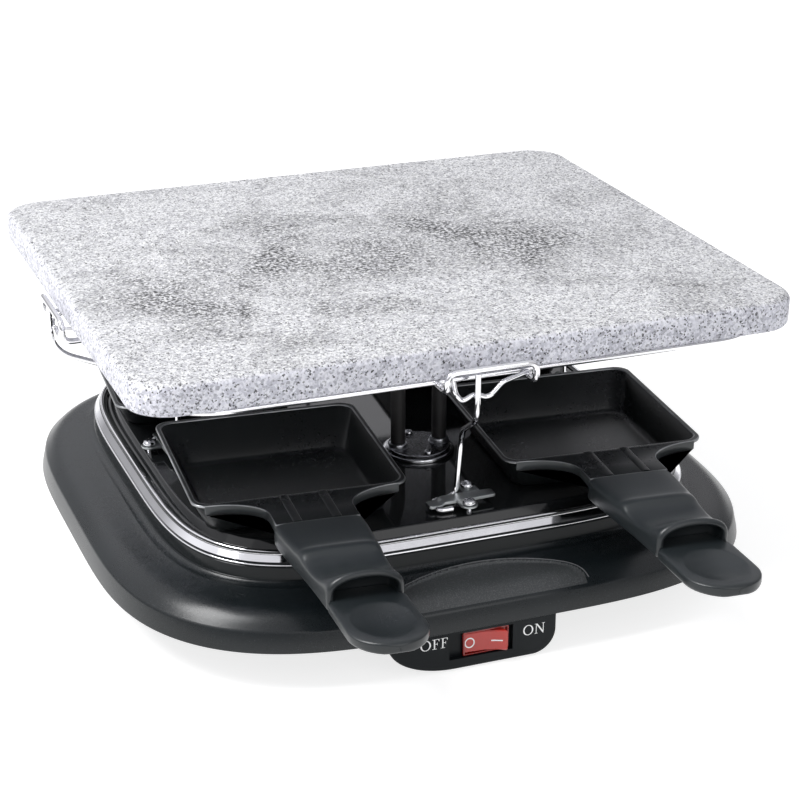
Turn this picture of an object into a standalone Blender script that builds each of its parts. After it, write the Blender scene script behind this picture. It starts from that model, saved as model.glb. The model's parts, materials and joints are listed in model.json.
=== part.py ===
"""Raclette grill for four people with a granite slab, in metres, Z up, origin on the table."""
import math

import bmesh
import bpy
from mathutils import Matrix, Vector

# Clearances shared by all pieces
GAP = 0.0003
OVERRUN = 0.002
MERGE = 0.00001

# Facet counts
HOLE_SIDES = 8
SCREW_SIDES = 8
ROD_SIDES = 16
FOOT_SIDES = 14
FLANGE_SIDES = 32
BEND_STEPS = 3
ARC_STEPS = 6
SMALL_ARC_STEPS = 4
SMOOTH_ANGLE = math.radians(35.0)
BEVEL_ANGLE = math.radians(40.0)

# Granite slab, the driving size of the top
HEIGHT = 0.140
SLAB_WIDTH = 0.300
SLAB_DEPTH = 0.265
SLAB_THICKNESS = 0.014
SLAB_CORNER = 0.018
SLAB_EDGE = 0.0025
SLAB_BOTTOM = HEIGHT - SLAB_THICKNESS

# Outline of the base: a rounded square, and every wall of the base is an offset of it
RIM_HALF = 0.1215
RIM_POWER = 4.4
RIM_STEPS = 48
FLOOR_Z = 0.0535
RIM_TOP_Z = 0.0515

# Dish of sheet steel, as offsets from the rim outline
DISH_SHEET = 0.001
DISH_FLANGE_OUT = 0.0007
DISH_FLANGE_Z = 0.0505
DISH_WALL_IN = 0.0030
DISH_GROOVE_Z = 0.0487
DISH_GROOVE_WIDTH = 0.0013
DISH_RISE_WIDTH = 0.0018

# Trim ring of chromed sheet, clipped over the edge of the dish
TRIM_SHEET = 0.0008
TRIM_BAND_HEIGHT = 0.0060
TRIM_FLARE = 0.0032
TRIM_LIP = 0.0007
TRIM_BEAD_IN = 0.0012

# Plastic body with its flared skirt
BODY_WALL = 0.0025
UPSTAND_OUT = 0.0006
UPSTAND_IN = 0.0016
COLLAR_OUT = 0.0034
COLLAR_DRAFT = 0.0005
COLLAR_HEIGHT = 0.0064
FILLET_WIDTH = 0.0040
FILLET_DROP = 0.0014
SKIRT_OUT = 0.0290
SKIRT_EDGE_Z = 0.0285
SKIRT_ROUND = 0.0012
SKIRT_DRAFT = 0.0022
SKIRT_BOTTOM_Z = 0.0185
SLOPE_STEPS = 4
SLOPE_BULGE = 0.0013

# Switch pod under the front edge of the skirt
POD_X = -0.0130
POD_HALF_WIDTH = 0.0385
POD_BOTTOM_Z = 0.0006
POD_TOP_Z = 0.0198
POD_DEPTH = 0.0230
POD_LEFT_CORNER = (0.0300, 0.0155)
POD_RIGHT_CORNER = (0.0110, 0.0110)
POD_OVERHANG = 0.0004

# Rocker switch
SWITCH_X = -0.0070
SWITCH_Z = 0.0113
RECESS_WIDTH = 0.0294
RECESS_HEIGHT = 0.0120
RECESS_SHIFT = -0.0026
RECESS_DEPTH = 0.0035
FRAME_WIDTH = 0.0212
FRAME_HEIGHT = 0.0114
FRAME_WALL = 0.0012
FRAME_PLATE = 0.0018
FRAME_DEPTH = 0.0125
ROCKER_THROW = math.radians(18.0)
ROCKER_PROUD = 0.0030
ROCKER_THICKNESS = 0.0074
ROCKER_DIP = 0.0008
ROCKER_FOOT_SHARE = 0.75
ROCKER_PIVOT_DEPTH = 0.0052
ROCKER_PIN_RADIUS = 0.0011
ROCKER_PIN_OUT = 0.0006
ROCKER_SIDE_GAP = 0.0005
ROCKER_END_GAP = 0.0010
TERMINAL_SIZE = (0.0048, 0.0055, 0.0008)
TERMINAL_SPACING = 0.0100

# Bottom cover with its tub, screws and feet
COVER_SHEET = 0.0020
COVER_UNDER_Z = 0.0195
COVER_TUB_OUT = -0.0060
COVER_TUB_SLOPE = 0.0080
COVER_FLOOR_Z = 0.0080
COVER_GAP = 0.0005
FOOT_RADIUS = 0.0110
FOOT_TAPER = 0.0015
FOOT_INSET = 0.0365
FOOT_PLACE = RIM_HALF - FOOT_INSET
FOOT_PEG_RADIUS = 0.0030
FOOT_PEG_HEAD = 0.0040
BOSS_OUT = 0.0130
BOSS_PLACE = RIM_HALF * 2 ** (-1 / RIM_POWER) + BOSS_OUT / math.sqrt(2)
BOSS_RADIUS = 0.0040
COVER_SCREW_REACH = 0.0070

# Screws
SCREW_HEAD_RADIUS = 0.0030
SCREW_HEAD_HEIGHT = 0.0022
SCREW_SHANK_RADIUS = 0.0014

# Wire rack
RING_WIRE = 0.0015
RING_INSET_X = 0.0120
RING_INSET_Y = 0.0040
RING_CORNER = 0.0280
LOOP_WIRE = 0.0014
LOOP_STAND_OFF = 0.0040
LOOP_HALF = 0.0200
LOOP_RISE = 0.0040
LOOP_BEND = 0.0050
LOOP_TAIL = 0.0160
LEG_WIRE = 0.0013
LEG_BEND = 0.0080
LEG_SHIFT = -0.0065
LEG_KNEE_DROP = 0.0185
LEG_KNEE_Z = SLAB_BOTTOM - LEG_KNEE_DROP
LEG_ANKLE_DROP = 0.0390
LEG_ANKLE_Z = SLAB_BOTTOM - LEG_ANKLE_DROP
LEG_ANKLE_SHIFT = 0.0025
LEG_FOOT_REACH = 0.0125
LEG_TOE = 0.0060
BRACE_WIRE = 0.0011
BRACE_LEFT = -0.0155
BRACE_RIGHT = 0.0185
BRACE_TOP_DROP = 0.0018
BRACE_TOP_Z = SLAB_BOTTOM - BRACE_TOP_DROP
BRACE_VALLEY_DROP = 0.0102
BRACE_VALLEY_Z = SLAB_BOTTOM - BRACE_VALLEY_DROP
BRACE_PEAK_DROP = 0.0075
BRACE_PEAK_Z = SLAB_BOTTOM - BRACE_PEAK_DROP
BRACE_VALLEY_OUT = 0.0062
BRACE_BEND = 0.0022

# Clamp plates that hold the feet of the legs
CLAMP_SHEET = 0.0012
CLAMP_LENGTH = 0.0310
CLAMP_WIDTH = 0.0076
CLAMP_TIP_WIDTH = 0.0064
CLAMP_EAR_WIDTH = 0.0080
CLAMP_EAR_LENGTH = 0.0245
CLAMP_INSET = 0.0170
CLAMP_PLACE = RIM_HALF - CLAMP_INSET
CLAMP_INNER_X = 0.0065
CLAMP_OUTER_X = 0.0005
CLAMP_SCREW_REACH = 0.0085
CLAMP_SHANK = 0.0042
HOOK_INNER = CLAMP_PLACE - CLAMP_WIDTH / 2 - GAP - LEG_WIRE
HOOK_OUTER = CLAMP_PLACE + CLAMP_WIDTH / 2 + GAP + LEG_WIRE

# Heating element and its flange
TUBE_RADIUS = 0.0034
TUBE_DROP = 0.0110
TUBE_Z = SLAB_BOTTOM - TUBE_DROP
TUBE_X = 0.0050
TUBE_Y = -0.0415
TUBE_HALF_SPACING = 0.0102
ELEMENT_HALF_WIDTH = 0.0950
ELEMENT_HALF_DEPTH = 0.0800
ELEMENT_BEND = 0.0150
ELEMENT_STUB = 0.0140
FLANGE_RADIUS = 0.0166
FLANGE_SHEET = 0.0030
FLANGE_SCREW_RADIUS = 0.0020
FLANGE_SCREW_HEAD = 0.0016
FLANGE_SCREW_SHANK = 0.0045
FLANGE_SCREW_PLACES = (math.radians(-90.0), math.radians(90.0))
FLANGE_SCREW_SEAT = 0.0125

# Electrical pieces inside the base
BLOCK_SIZE = (0.0300, 0.0160, 0.0120)
BLOCK_PLACE = (0.0450, 0.0400)
BLOCK_EDGE = 0.0010
CUTOUT_RADIUS = 0.0080
CUTOUT_HEIGHT = 0.0060
CUTOUT_CAP_RADIUS = 0.0060
CUTOUT_CAP_HEIGHT = 0.0025
CUTOUT_PLACE = (-0.0350, 0.0100)
GLAND_X = 0.0400
GLAND_Z = 0.0224
GLAND_NECK = 0.0027
GLAND_COLLAR = 0.0032
GLAND_BORE = 0.0019
GLAND_FLANGE = 0.0012
GLAND_SLEEVE = 0.0120
GLAND_TIP = 0.0025
GLAND_PLAY = 0.0011

# Raclette pans
PAN_WIDTH = 0.0945
PAN_INSET = 0.0150
PAN_FRONT = RIM_HALF - PAN_INSET
PAN_BACK = 0.0110
PAN_LENGTH = PAN_FRONT - PAN_BACK
PAN_RIM_Z = 0.0705
PAN_SHEET = 0.0010
PAN_RIM_LIP = 0.0012
PAN_RIM_HEIGHT = 0.0016
PAN_WALL_SLOPE = 0.0060
PAN_REAR_SLOPE = 0.0145
PAN_CORNER = 0.0070
PAN_FLOOR_ROUND = 0.0025
PAN_SPREAD = 0.0705
PAN_SHIFT = -0.0020
PAN_STAGGER = 0.0025
PAN_TURN = math.radians(-4.6)

# Tab on the front of a pan, with its edges turned down
TAB_HALF_ROOT = 0.0425
TAB_HALF_END = 0.0182
TAB_CURVE = 0.0150
TAB_LENGTH = 0.0260
TAB_SHEET = 0.0012
TAB_TURN_DOWN = 0.0045
TAB_TONGUE_HALF = 0.0120
TAB_TONGUE = 0.0140
TAB_LAP = 0.0008
RIB_X = 0.0085
RIB_RADIUS = 0.0011

# Pan handle; heights are below the rim of the pan
HANDLE_START = 0.0250
HANDLE_RIDGE = 0.0550
HANDLE_CREST = 0.0862
HANDLE_STEP = 0.0020
HANDLE_EDGE = 0.0010
HANDLE_END = 0.1275
HANDLE_HALF_ROOT = 0.0190
HANDLE_HALF_RIDGE = 0.0170
HANDLE_HALF_CREST = 0.0156
HANDLE_HALF_TONGUE = 0.0160
HANDLE_LEAN = 0.055
HANDLE_TOP_DROP = -0.0004
HANDLE_RIDGE_DROP = -0.0014
HANDLE_DIP_DROP = 0.0008
HANDLE_CREST_DROP = -0.0060
HANDLE_SIDE_DROP = 0.0040
HANDLE_CREST_SIDE = 0.0022
HANDLE_TONGUE_DROP = 0.0048
HANDLE_UNDER_ROOT = 0.0095
HANDLE_UNDER_TONGUE = 0.0098
HANDLE_FLAT_POWER = 5.0
HANDLE_ARCH_POWER = 2.2
HANDLE_SECTION_STEPS = 10
HANDLE_FLAT_SHARE = 0.80
HANDLE_START_SHARE = 0.97
HANDLE_ROOT_SHARE = 0.35
HANDLE_DIP_SHARES = (0.12, 0.30, 0.50, 0.72, 0.90, 1.0)
HANDLE_END_SHARES = (0.40, 0.70, 0.90, 0.99)


def make_material(name, colour, roughness, metallic=0.0):
    """A plain Principled material with the finish of one piece."""
    material = bpy.data.materials.new(name)
    material.use_nodes = True
    shader = material.node_tree.nodes["Principled BSDF"]
    shader.inputs["Base Color"].default_value = (*colour, 1.0)
    shader.inputs["Roughness"].default_value = roughness
    shader.inputs["Metallic"].default_value = metallic
    return material


def clear_scene():
    """Remove what a new file holds."""
    for item in list(bpy.data.objects):
        bpy.data.objects.remove(item, do_unlink=True)


clear_scene()
PARTS = bpy.data.collections.new("raclette_grill")
CUTTERS = bpy.data.collections.new("cutters")
bpy.context.scene.collection.children.link(PARTS)
bpy.context.scene.collection.children.link(CUTTERS)

GRANITE = make_material("granite", (0.52, 0.51, 0.54), 0.55)
CHROME = make_material("chrome", (0.82, 0.82, 0.84), 0.08, 1.0)
STEEL = make_material("zinc_steel", (0.55, 0.55, 0.56), 0.35, 1.0)
ENAMEL = make_material("black_enamel", (0.012, 0.012, 0.013), 0.10)
BLACK_TUBE = make_material("oxidised_tube", (0.02, 0.02, 0.02), 0.45, 0.6)
PLASTIC = make_material("black_plastic", (0.022, 0.023, 0.024), 0.45)
NON_STICK = make_material("non_stick", (0.015, 0.015, 0.016), 0.35)
BAKELITE = make_material("handle_plastic", (0.028, 0.029, 0.031), 0.48)
RUBBER = make_material("rubber", (0.03, 0.03, 0.03), 0.85)
RED_PLASTIC = make_material("red_plastic", (0.62, 0.03, 0.02), 0.25)
CERAMIC = make_material("ceramic", (0.80, 0.78, 0.72), 0.50)
BRASS = make_material("brass", (0.70, 0.52, 0.25), 0.35, 1.0)


def place(item, material, location=(0.0, 0.0, 0.0), turn=0.0):
    """Put an object in the parts collection with its material and place."""
    PARTS.objects.link(item)
    item.data.materials.append(material)
    item.location = location
    item.rotation_euler = (0.0, 0.0, turn)
    return item


def mesh_from(name, work):
    """Store a bmesh as a new mesh with its faces pointing out, shaded smooth but for its edges."""
    bmesh.ops.recalc_face_normals(work, faces=work.faces)
    mesh = bpy.data.meshes.new(name)
    work.to_mesh(mesh)
    work.free()
    mesh.shade_smooth()
    mesh.set_sharp_from_angle(angle=SMOOTH_ANGLE)
    return mesh


def loft(name, sections, ring_shaped=False):
    """Skin a row of sections of equal point count; the ends are capped unless the row closes."""
    work = bmesh.new()
    rows = [[work.verts.new(point) for point in section] for section in sections]
    pairs = list(zip(rows, rows[1:]))
    if ring_shaped:
        pairs.append((rows[-1], rows[0]))
    for lower, upper in pairs:
        count = len(lower)
        for i in range(count):
            j = (i + 1) % count
            work.faces.new((lower[i], lower[j], upper[j], upper[i]))
    if not ring_shaped:
        work.faces.new(rows[0])
        work.faces.new(rows[-1])
    return mesh_from(name, work)


def box_mesh(name, size, centre=(0.0, 0.0, 0.0), corner=0.0):
    """A box whose upright edges can be rounded."""
    work = bmesh.new()
    bmesh.ops.create_cube(work, size=1.0)
    bmesh.ops.scale(work, vec=size, verts=work.verts)
    bmesh.ops.translate(work, vec=centre, verts=work.verts)
    if corner:
        upright = [e for e in work.edges if abs((e.verts[0].co - e.verts[1].co).z) > size[2] / 2]
        bmesh.ops.bevel(work, geom=upright, offset=corner, segments=ARC_STEPS, profile=0.5,
                        affect="EDGES")
    return mesh_from(name, work)


def rod_mesh(name, radius, bottom, top, sides=SCREW_SIDES, centre=(0.0, 0.0), top_radius=None):
    """An upright round rod between two heights."""
    work = bmesh.new()
    bmesh.ops.create_cone(work, cap_ends=True, segments=sides, radius1=radius,
                          radius2=radius if top_radius is None else top_radius, depth=top - bottom)
    bmesh.ops.translate(work, vec=(centre[0], centre[1], (top + bottom) / 2), verts=work.verts)
    return mesh_from(name, work)


def turned_mesh(name, profile, sides):
    """A turned piece from a profile of (radius, height), listed from top to bottom."""
    mesh = bpy.data.meshes.new(name)
    edges = [(i, i + 1) for i in range(len(profile) - 1)]
    mesh.from_pydata([(radius, 0.0, height) for radius, height in profile], edges, [])
    item = bpy.data.objects.new(name, mesh)
    CUTTERS.objects.link(item)
    screw = item.modifiers.new("turn", "SCREW")
    screw.steps = sides
    screw.render_steps = sides
    screw.use_merge_vertices = True
    screw.merge_threshold = MERGE
    return bake(item)


def bake(item):
    """The evaluated mesh of an object, which is then removed."""
    bpy.context.view_layer.update()
    seen = item.evaluated_get(bpy.context.evaluated_depsgraph_get())
    mesh = bpy.data.meshes.new_from_object(seen)
    work = bmesh.new()
    work.from_mesh(mesh)
    bmesh.ops.transform(work, matrix=item.matrix_world, verts=work.verts)
    bmesh.ops.remove_doubles(work, verts=work.verts, dist=MERGE)
    name = item.name
    bpy.data.objects.remove(item, do_unlink=True)
    bpy.data.meshes.remove(mesh)
    return mesh_from(name, work)


def wire_object(name, points, radius, cyclic=False):
    """A wire along a row of points, with filled ends."""
    curve = bpy.data.curves.new(name, "CURVE")
    curve.dimensions = "3D"
    curve.bevel_depth = radius
    curve.bevel_resolution = 2
    curve.use_fill_caps = True
    spline = curve.splines.new("POLY")
    spline.points.add(len(points) - 1)
    for target, point in zip(spline.points, points):
        target.co = (*point, 1.0)
    spline.use_cyclic_u = cyclic
    return bpy.data.objects.new(name, curve)


def sheet_mesh(name, outline, thickness, height):
    """A flat sheet with a drawn outline, standing on the given height."""
    curve = bpy.data.curves.new(name, "CURVE")
    curve.dimensions = "2D"
    curve.fill_mode = "BOTH"
    curve.extrude = thickness / 2
    spline = curve.splines.new("POLY")
    spline.points.add(len(outline) - 1)
    for target, point in zip(spline.points, outline):
        target.co = (point[0], point[1], 0.0, 1.0)
    spline.use_cyclic_u = True
    item = bpy.data.objects.new(name, curve)
    CUTTERS.objects.link(item)
    item.location = (0.0, 0.0, height + thickness / 2)
    return bake(item)


def cutter(name, mesh, location=(0.0, 0.0, 0.0), rotation=(0.0, 0.0, 0.0)):
    """A guide object for a Boolean, kept out of renders."""
    item = bpy.data.objects.new(name, mesh)
    CUTTERS.objects.link(item)
    item.location = location
    item.rotation_euler = rotation
    item.hide_render = True
    item.display_type = "WIRE"
    return item


def combine(item, other, operation):
    """Cut or join one object with another."""
    modifier = item.modifiers.new(other.name, "BOOLEAN")
    modifier.object = other
    modifier.operation = operation
    return item


def cut_mesh(mesh, cutters, operation="DIFFERENCE"):
    """The mesh after a row of Booleans, for pieces that share it."""
    item = bpy.data.objects.new(mesh.name, mesh)
    CUTTERS.objects.link(item)
    for other in cutters:
        combine(item, other, operation)
    return bake(item)


def bent_path(points, radius):
    """Round each inner corner of a row of points with an arc."""
    corners = [Vector(point) for point in points]
    path = [corners[0]]
    for before, corner, after in zip(corners, corners[1:], corners[2:]):
        arm_in = before - corner
        arm_out = after - corner
        half_angle = arm_in.angle(arm_out) / 2
        reach = min(radius / math.tan(half_angle), arm_in.length / 2, arm_out.length / 2)
        start = corner + arm_in.normalized() * reach
        end = corner + arm_out.normalized() * reach
        for i in range(BEND_STEPS + 1):
            share = i / BEND_STEPS
            left = start.lerp(corner, share)
            right = corner.lerp(end, share)
            path.append(left.lerp(right, share))
    path.append(corners[-1])
    return path


def rounded_rectangle(half_x, half_y, radius, steps):
    """Points of a rectangle with round corners, counter-clockwise from the right side."""
    points = []
    for quarter in range(4):
        sign_x = 1 if quarter in (0, 3) else -1
        sign_y = 1 if quarter in (0, 1) else -1
        for i in range(steps + 1):
            angle = math.pi / 2 * (quarter + i / steps)
            points.append((sign_x * (half_x - radius) + radius * math.cos(angle),
                           sign_y * (half_y - radius) + radius * math.sin(angle)))
    return points


def rim_outline(offset):
    """The rounded square of the base, moved out along its normals by an offset."""
    points = []
    for i in range(RIM_STEPS):
        angle = 2 * math.pi * (i + 0.5) / RIM_STEPS
        cosine, sine = math.cos(angle), math.sin(angle)
        x = math.copysign(abs(cosine) ** (2 / RIM_POWER), cosine)
        y = math.copysign(abs(sine) ** (2 / RIM_POWER), sine)
        normal = Vector((math.copysign(abs(x) ** (RIM_POWER - 1), x),
                         math.copysign(abs(y) ** (RIM_POWER - 1), y))).normalized()
        points.append((RIM_HALF * x + offset * normal.x, RIM_HALF * y + offset * normal.y))
    return points


def rim_sections(profile):
    """One section of the base outline for each (offset, height) of a profile."""
    return [[(x, y, height) for x, y in rim_outline(offset)] for offset, height in profile]


def side_half(side):
    """Half of the slab's size towards one of the four sides."""
    return SLAB_DEPTH / 2 if side in ("front", "back") else SLAB_WIDTH / 2


SIDE_TURNS = {"front": 0.0, "right": math.pi / 2, "back": math.pi, "left": -math.pi / 2}
CORNERS = {"front_left": (-1, -1), "front_right": (1, -1), "back_right": (1, 1), "back_left": (-1, 1)}


def make_slab():
    """The granite slab with round corners and softened edges."""
    size = (SLAB_WIDTH, SLAB_DEPTH, SLAB_THICKNESS)
    mesh = box_mesh("stone_plate", size, corner=SLAB_CORNER)
    slab = place(bpy.data.objects.new("stone_plate", mesh), GRANITE,
                 (0.0, 0.0, SLAB_BOTTOM + SLAB_THICKNESS / 2))
    bevel = slab.modifiers.new("soft_edge", "BEVEL")
    bevel.width = SLAB_EDGE
    bevel.segments = 2
    bevel.limit_method = "ANGLE"
    bevel.angle_limit = BEVEL_ANGLE


def make_dish():
    """The enamelled dish: a raised floor, a drip groove round it and a flange on the body."""
    groove_in = DISH_WALL_IN + DISH_GROOVE_WIDTH
    top = [(-groove_in - DISH_RISE_WIDTH, FLOOR_Z), (-groove_in, DISH_GROOVE_Z),
           (-DISH_WALL_IN, DISH_GROOVE_Z), (-DISH_WALL_IN + DISH_SHEET, DISH_FLANGE_Z),
           (DISH_FLANGE_OUT, DISH_FLANGE_Z)]
    under = [(DISH_FLANGE_OUT, DISH_FLANGE_Z - DISH_SHEET),
             (-DISH_WALL_IN + DISH_SHEET, DISH_FLANGE_Z - DISH_SHEET),
             (-DISH_WALL_IN + DISH_SHEET, DISH_GROOVE_Z - DISH_SHEET),
             (-groove_in - DISH_SHEET, DISH_GROOVE_Z - DISH_SHEET),
             (-groove_in - DISH_RISE_WIDTH - DISH_SHEET, FLOOR_Z - DISH_SHEET)]
    dish = place(bpy.data.objects.new("dish", loft("dish", rim_sections(top + under))), ENAMEL)
    for name, x in tube_places():
        hole = rod_mesh(f"dish_hole_{name}", TUBE_RADIUS + GAP, FLOOR_Z - DISH_SHEET - OVERRUN,
                        FLOOR_Z + OVERRUN, centre=(x, TUBE_Y), sides=ROD_SIDES)
        combine(dish, cutter(hole.name, hole), "DIFFERENCE")
    for name, x, y in screw_places():
        hole = rod_mesh(f"dish_screw_hole_{name}", SCREW_SHANK_RADIUS + GAP,
                        FLOOR_Z - DISH_SHEET - OVERRUN, FLOOR_Z + OVERRUN, centre=(x, y), sides=HOLE_SIDES)
        combine(dish, cutter(hole.name, hole), "DIFFERENCE")


def tube_places():
    """The two upright legs of the heating element."""
    return (("left", TUBE_X - TUBE_HALF_SPACING), ("right", TUBE_X + TUBE_HALF_SPACING))


def screw_places():
    """Every screw that goes through the dish: two at each clamp plate, and the flange screws."""
    places = []
    for side, turn in SIDE_TURNS.items():
        for end, across, reach in clamp_screws():
            spot = Vector((across, reach - CLAMP_PLACE, 0.0))
            spot.rotate(Matrix.Rotation(turn, 3, "Z"))
            places.append((f"{side}_{end}", spot.x, spot.y))
    for number, angle in enumerate(FLANGE_SCREW_PLACES, 1):
        places.append((f"flange_{number}", TUBE_X + FLANGE_SCREW_SEAT * math.cos(angle),
                       TUBE_Y + FLANGE_SCREW_SEAT * math.sin(angle)))
    return places


def make_trim_ring():
    """The chromed ring: a bead over the dish's edge and a flared band outside."""
    foot_z = RIM_TOP_Z - TRIM_BAND_HEIGHT
    bead_under = DISH_FLANGE_Z + GAP
    inner_wall = DISH_FLANGE_OUT + GAP
    outside = [(-TRIM_BEAD_IN, bead_under), (-TRIM_BEAD_IN, RIM_TOP_Z - TRIM_SHEET / 3),
               (0.0, RIM_TOP_Z), (inner_wall + TRIM_SHEET / 2, RIM_TOP_Z - TRIM_SHEET / 3),
               (inner_wall + TRIM_SHEET, RIM_TOP_Z - TRIM_SHEET),
               (TRIM_FLARE - TRIM_SHEET / 2, foot_z + TRIM_BAND_HEIGHT / 3),
               (TRIM_FLARE, foot_z + TRIM_SHEET), (TRIM_FLARE + TRIM_LIP, foot_z + TRIM_SHEET / 2),
               (TRIM_FLARE + TRIM_LIP, foot_z)]
    inside = [(TRIM_FLARE - TRIM_SHEET, foot_z), (inner_wall, RIM_TOP_Z - TRIM_BAND_HEIGHT / 2),
              (inner_wall, bead_under)]
    mesh = loft("trim_ring", rim_sections(outside + inside), ring_shaped=True)
    place(bpy.data.objects.new("trim_ring", mesh), CHROME)


def slope_height(offset):
    """Height of the skirt's slope at an offset; it bulges a little between collar and edge."""
    start = COLLAR_OUT + COLLAR_DRAFT + FILLET_WIDTH
    share = (offset - start) / (SKIRT_OUT - SKIRT_ROUND - start)
    top, end = collar_foot() - FILLET_DROP, SKIRT_EDGE_Z + SKIRT_ROUND / 3
    return top + share * (end - top) + SLOPE_BULGE * math.sin(math.pi * share)


def skirt_profile():
    """The slope of the skirt as (offset, height), from the collar to the edge."""
    start = COLLAR_OUT + COLLAR_DRAFT + FILLET_WIDTH
    width = SKIRT_OUT - SKIRT_ROUND - start
    offsets = [start + width * i / SLOPE_STEPS for i in range(SLOPE_STEPS + 1)]
    return [(offset, slope_height(offset)) for offset in offsets]


def collar_foot():
    """Height of the line where the collar meets the skirt."""
    return RIM_TOP_Z - TRIM_BAND_HEIGHT - GAP - COLLAR_HEIGHT


def body_profile():
    """The closed outline of the body's wall as (offset, height)."""
    shoulder_z = RIM_TOP_Z - TRIM_BAND_HEIGHT - GAP
    upstand_z = DISH_FLANGE_Z - DISH_SHEET - GAP
    outside = [(-UPSTAND_IN, upstand_z), (UPSTAND_OUT, upstand_z), (UPSTAND_OUT, shoulder_z),
               (COLLAR_OUT, shoulder_z), (COLLAR_OUT + COLLAR_DRAFT, collar_foot()),
               (COLLAR_OUT + COLLAR_DRAFT + FILLET_WIDTH / 4, collar_foot() - FILLET_DROP * 2 / 3)]
    outside += skirt_profile()
    outside += [(SKIRT_OUT, SKIRT_EDGE_Z - SKIRT_ROUND / 3),
                (SKIRT_OUT + SKIRT_ROUND / 3, SKIRT_EDGE_Z - SKIRT_ROUND),
                (SKIRT_OUT + SKIRT_DRAFT, SKIRT_BOTTOM_Z)]
    slope_inside = [(out, height - BODY_WALL) for out, height in reversed(skirt_profile())]
    inside = [(SKIRT_OUT + SKIRT_DRAFT - BODY_WALL, SKIRT_BOTTOM_Z),
              (SKIRT_OUT - BODY_WALL, SKIRT_EDGE_Z - BODY_WALL)]
    inside += [point for point in slope_inside if point[0] < SKIRT_OUT - BODY_WALL]
    inside += [(COLLAR_OUT - BODY_WALL, collar_foot() - FILLET_DROP - BODY_WALL),
               (-UPSTAND_IN, collar_foot())]
    return outside + inside


def pod_outline():
    """The front view of the pod: flat on top, a tight lower right corner, a long lower left one."""
    points = [(POD_HALF_WIDTH, POD_TOP_Z)]
    for quarter, sign, (wide, high) in ((0, 1, POD_RIGHT_CORNER), (1, -1, POD_LEFT_CORNER)):
        for i in range(ARC_STEPS + 1):
            angle = -math.pi / 2 * (quarter + i / ARC_STEPS)
            points.append((sign * (POD_HALF_WIDTH - wide) + wide * math.cos(angle),
                           POD_BOTTOM_Z + high + high * math.sin(angle)))
    points.append((-POD_HALF_WIDTH, POD_TOP_Z))
    return points


def skirt_front():
    """How far the outside of the skirt reaches at its lower edge."""
    return RIM_HALF + SKIRT_OUT + SKIRT_DRAFT


def wall_reach(across):
    """How far the outside of the skirt reaches at a distance from the middle of a side."""
    bow = RIM_HALF * (1 - (1 - abs(across / RIM_HALF) ** RIM_POWER) ** (1 / RIM_POWER))
    return skirt_front() - bow


def make_pod_block():
    """The pod as a solid whose face follows the skirt, made from two crossing outlines."""
    block = cutter("pod_block", sheet_mesh("pod_block", pod_outline(), POD_DEPTH * 2, -POD_DEPTH),
                   (POD_X, -skirt_front(), 0.0), (math.pi / 2, 0.0, 0.0))
    face = [(x, y, height) for height in (POD_BOTTOM_Z - OVERRUN, POD_TOP_Z + OVERRUN)
            for x, y in rim_outline(SKIRT_OUT + SKIRT_DRAFT - POD_OVERHANG)]
    sections = [face[:RIM_STEPS], face[RIM_STEPS:]]
    combine(block, cutter("pod_face", loft("pod_face", sections)), "INTERSECT")
    bpy.context.view_layer.update()
    return cutter("pod_solid", bake(block))


def make_body():
    """The plastic body: one wall all round, the pod, the bosses, and the holes in them."""
    body = place(bpy.data.objects.new("body_shell", loft("body_shell", rim_sections(body_profile()),
                                                         ring_shaped=True)), PLASTIC)
    combine(body, make_pod_block(), "UNION")
    boss_top = slope_height(BOSS_OUT + BOSS_RADIUS) - BODY_WALL / 4
    for corner, (sign_x, sign_y) in CORNERS.items():
        spot = (sign_x * BOSS_PLACE, sign_y * BOSS_PLACE)
        boss = rod_mesh(f"boss_{corner}", BOSS_RADIUS, COVER_UNDER_Z + COVER_SHEET + GAP, boss_top,
                        centre=spot)
        combine(body, cutter(boss.name, boss), "UNION")
    for corner, (sign_x, sign_y) in CORNERS.items():
        spot = (sign_x * BOSS_PLACE, sign_y * BOSS_PLACE)
        hole = rod_mesh(f"boss_hole_{corner}", SCREW_SHANK_RADIUS + GAP, COVER_UNDER_Z,
                        COVER_UNDER_Z + COVER_SHEET + COVER_SCREW_REACH + GAP, centre=spot, sides=HOLE_SIDES)
        combine(body, cutter(hole.name, hole), "DIFFERENCE")
    recess_x = SWITCH_X + RECESS_SHIFT
    recess = box_mesh("recess", (RECESS_WIDTH, RECESS_DEPTH * 2, RECESS_HEIGHT),
                      (recess_x, -skirt_front(), SWITCH_Z))
    combine(body, cutter("recess", recess), "DIFFERENCE")
    pocket = box_mesh("pocket", (FRAME_WIDTH - 2 * FRAME_WALL + 2 * GAP, POD_DEPTH * 3,
                                 FRAME_HEIGHT - 2 * FRAME_WALL + 2 * GAP),
                      (SWITCH_X, -skirt_front(), SWITCH_Z))
    combine(body, cutter("pocket", pocket), "DIFFERENCE")
    gland_hole = rod_mesh("gland_hole", GLAND_NECK + GAP, -GLAND_SLEEVE, GLAND_SLEEVE,
                          sides=ROD_SIDES)
    combine(body, cutter("gland_hole", gland_hole, (GLAND_X, skirt_front(), GLAND_Z),
                         (math.pi / 2, 0.0, 0.0)), "DIFFERENCE")


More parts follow.
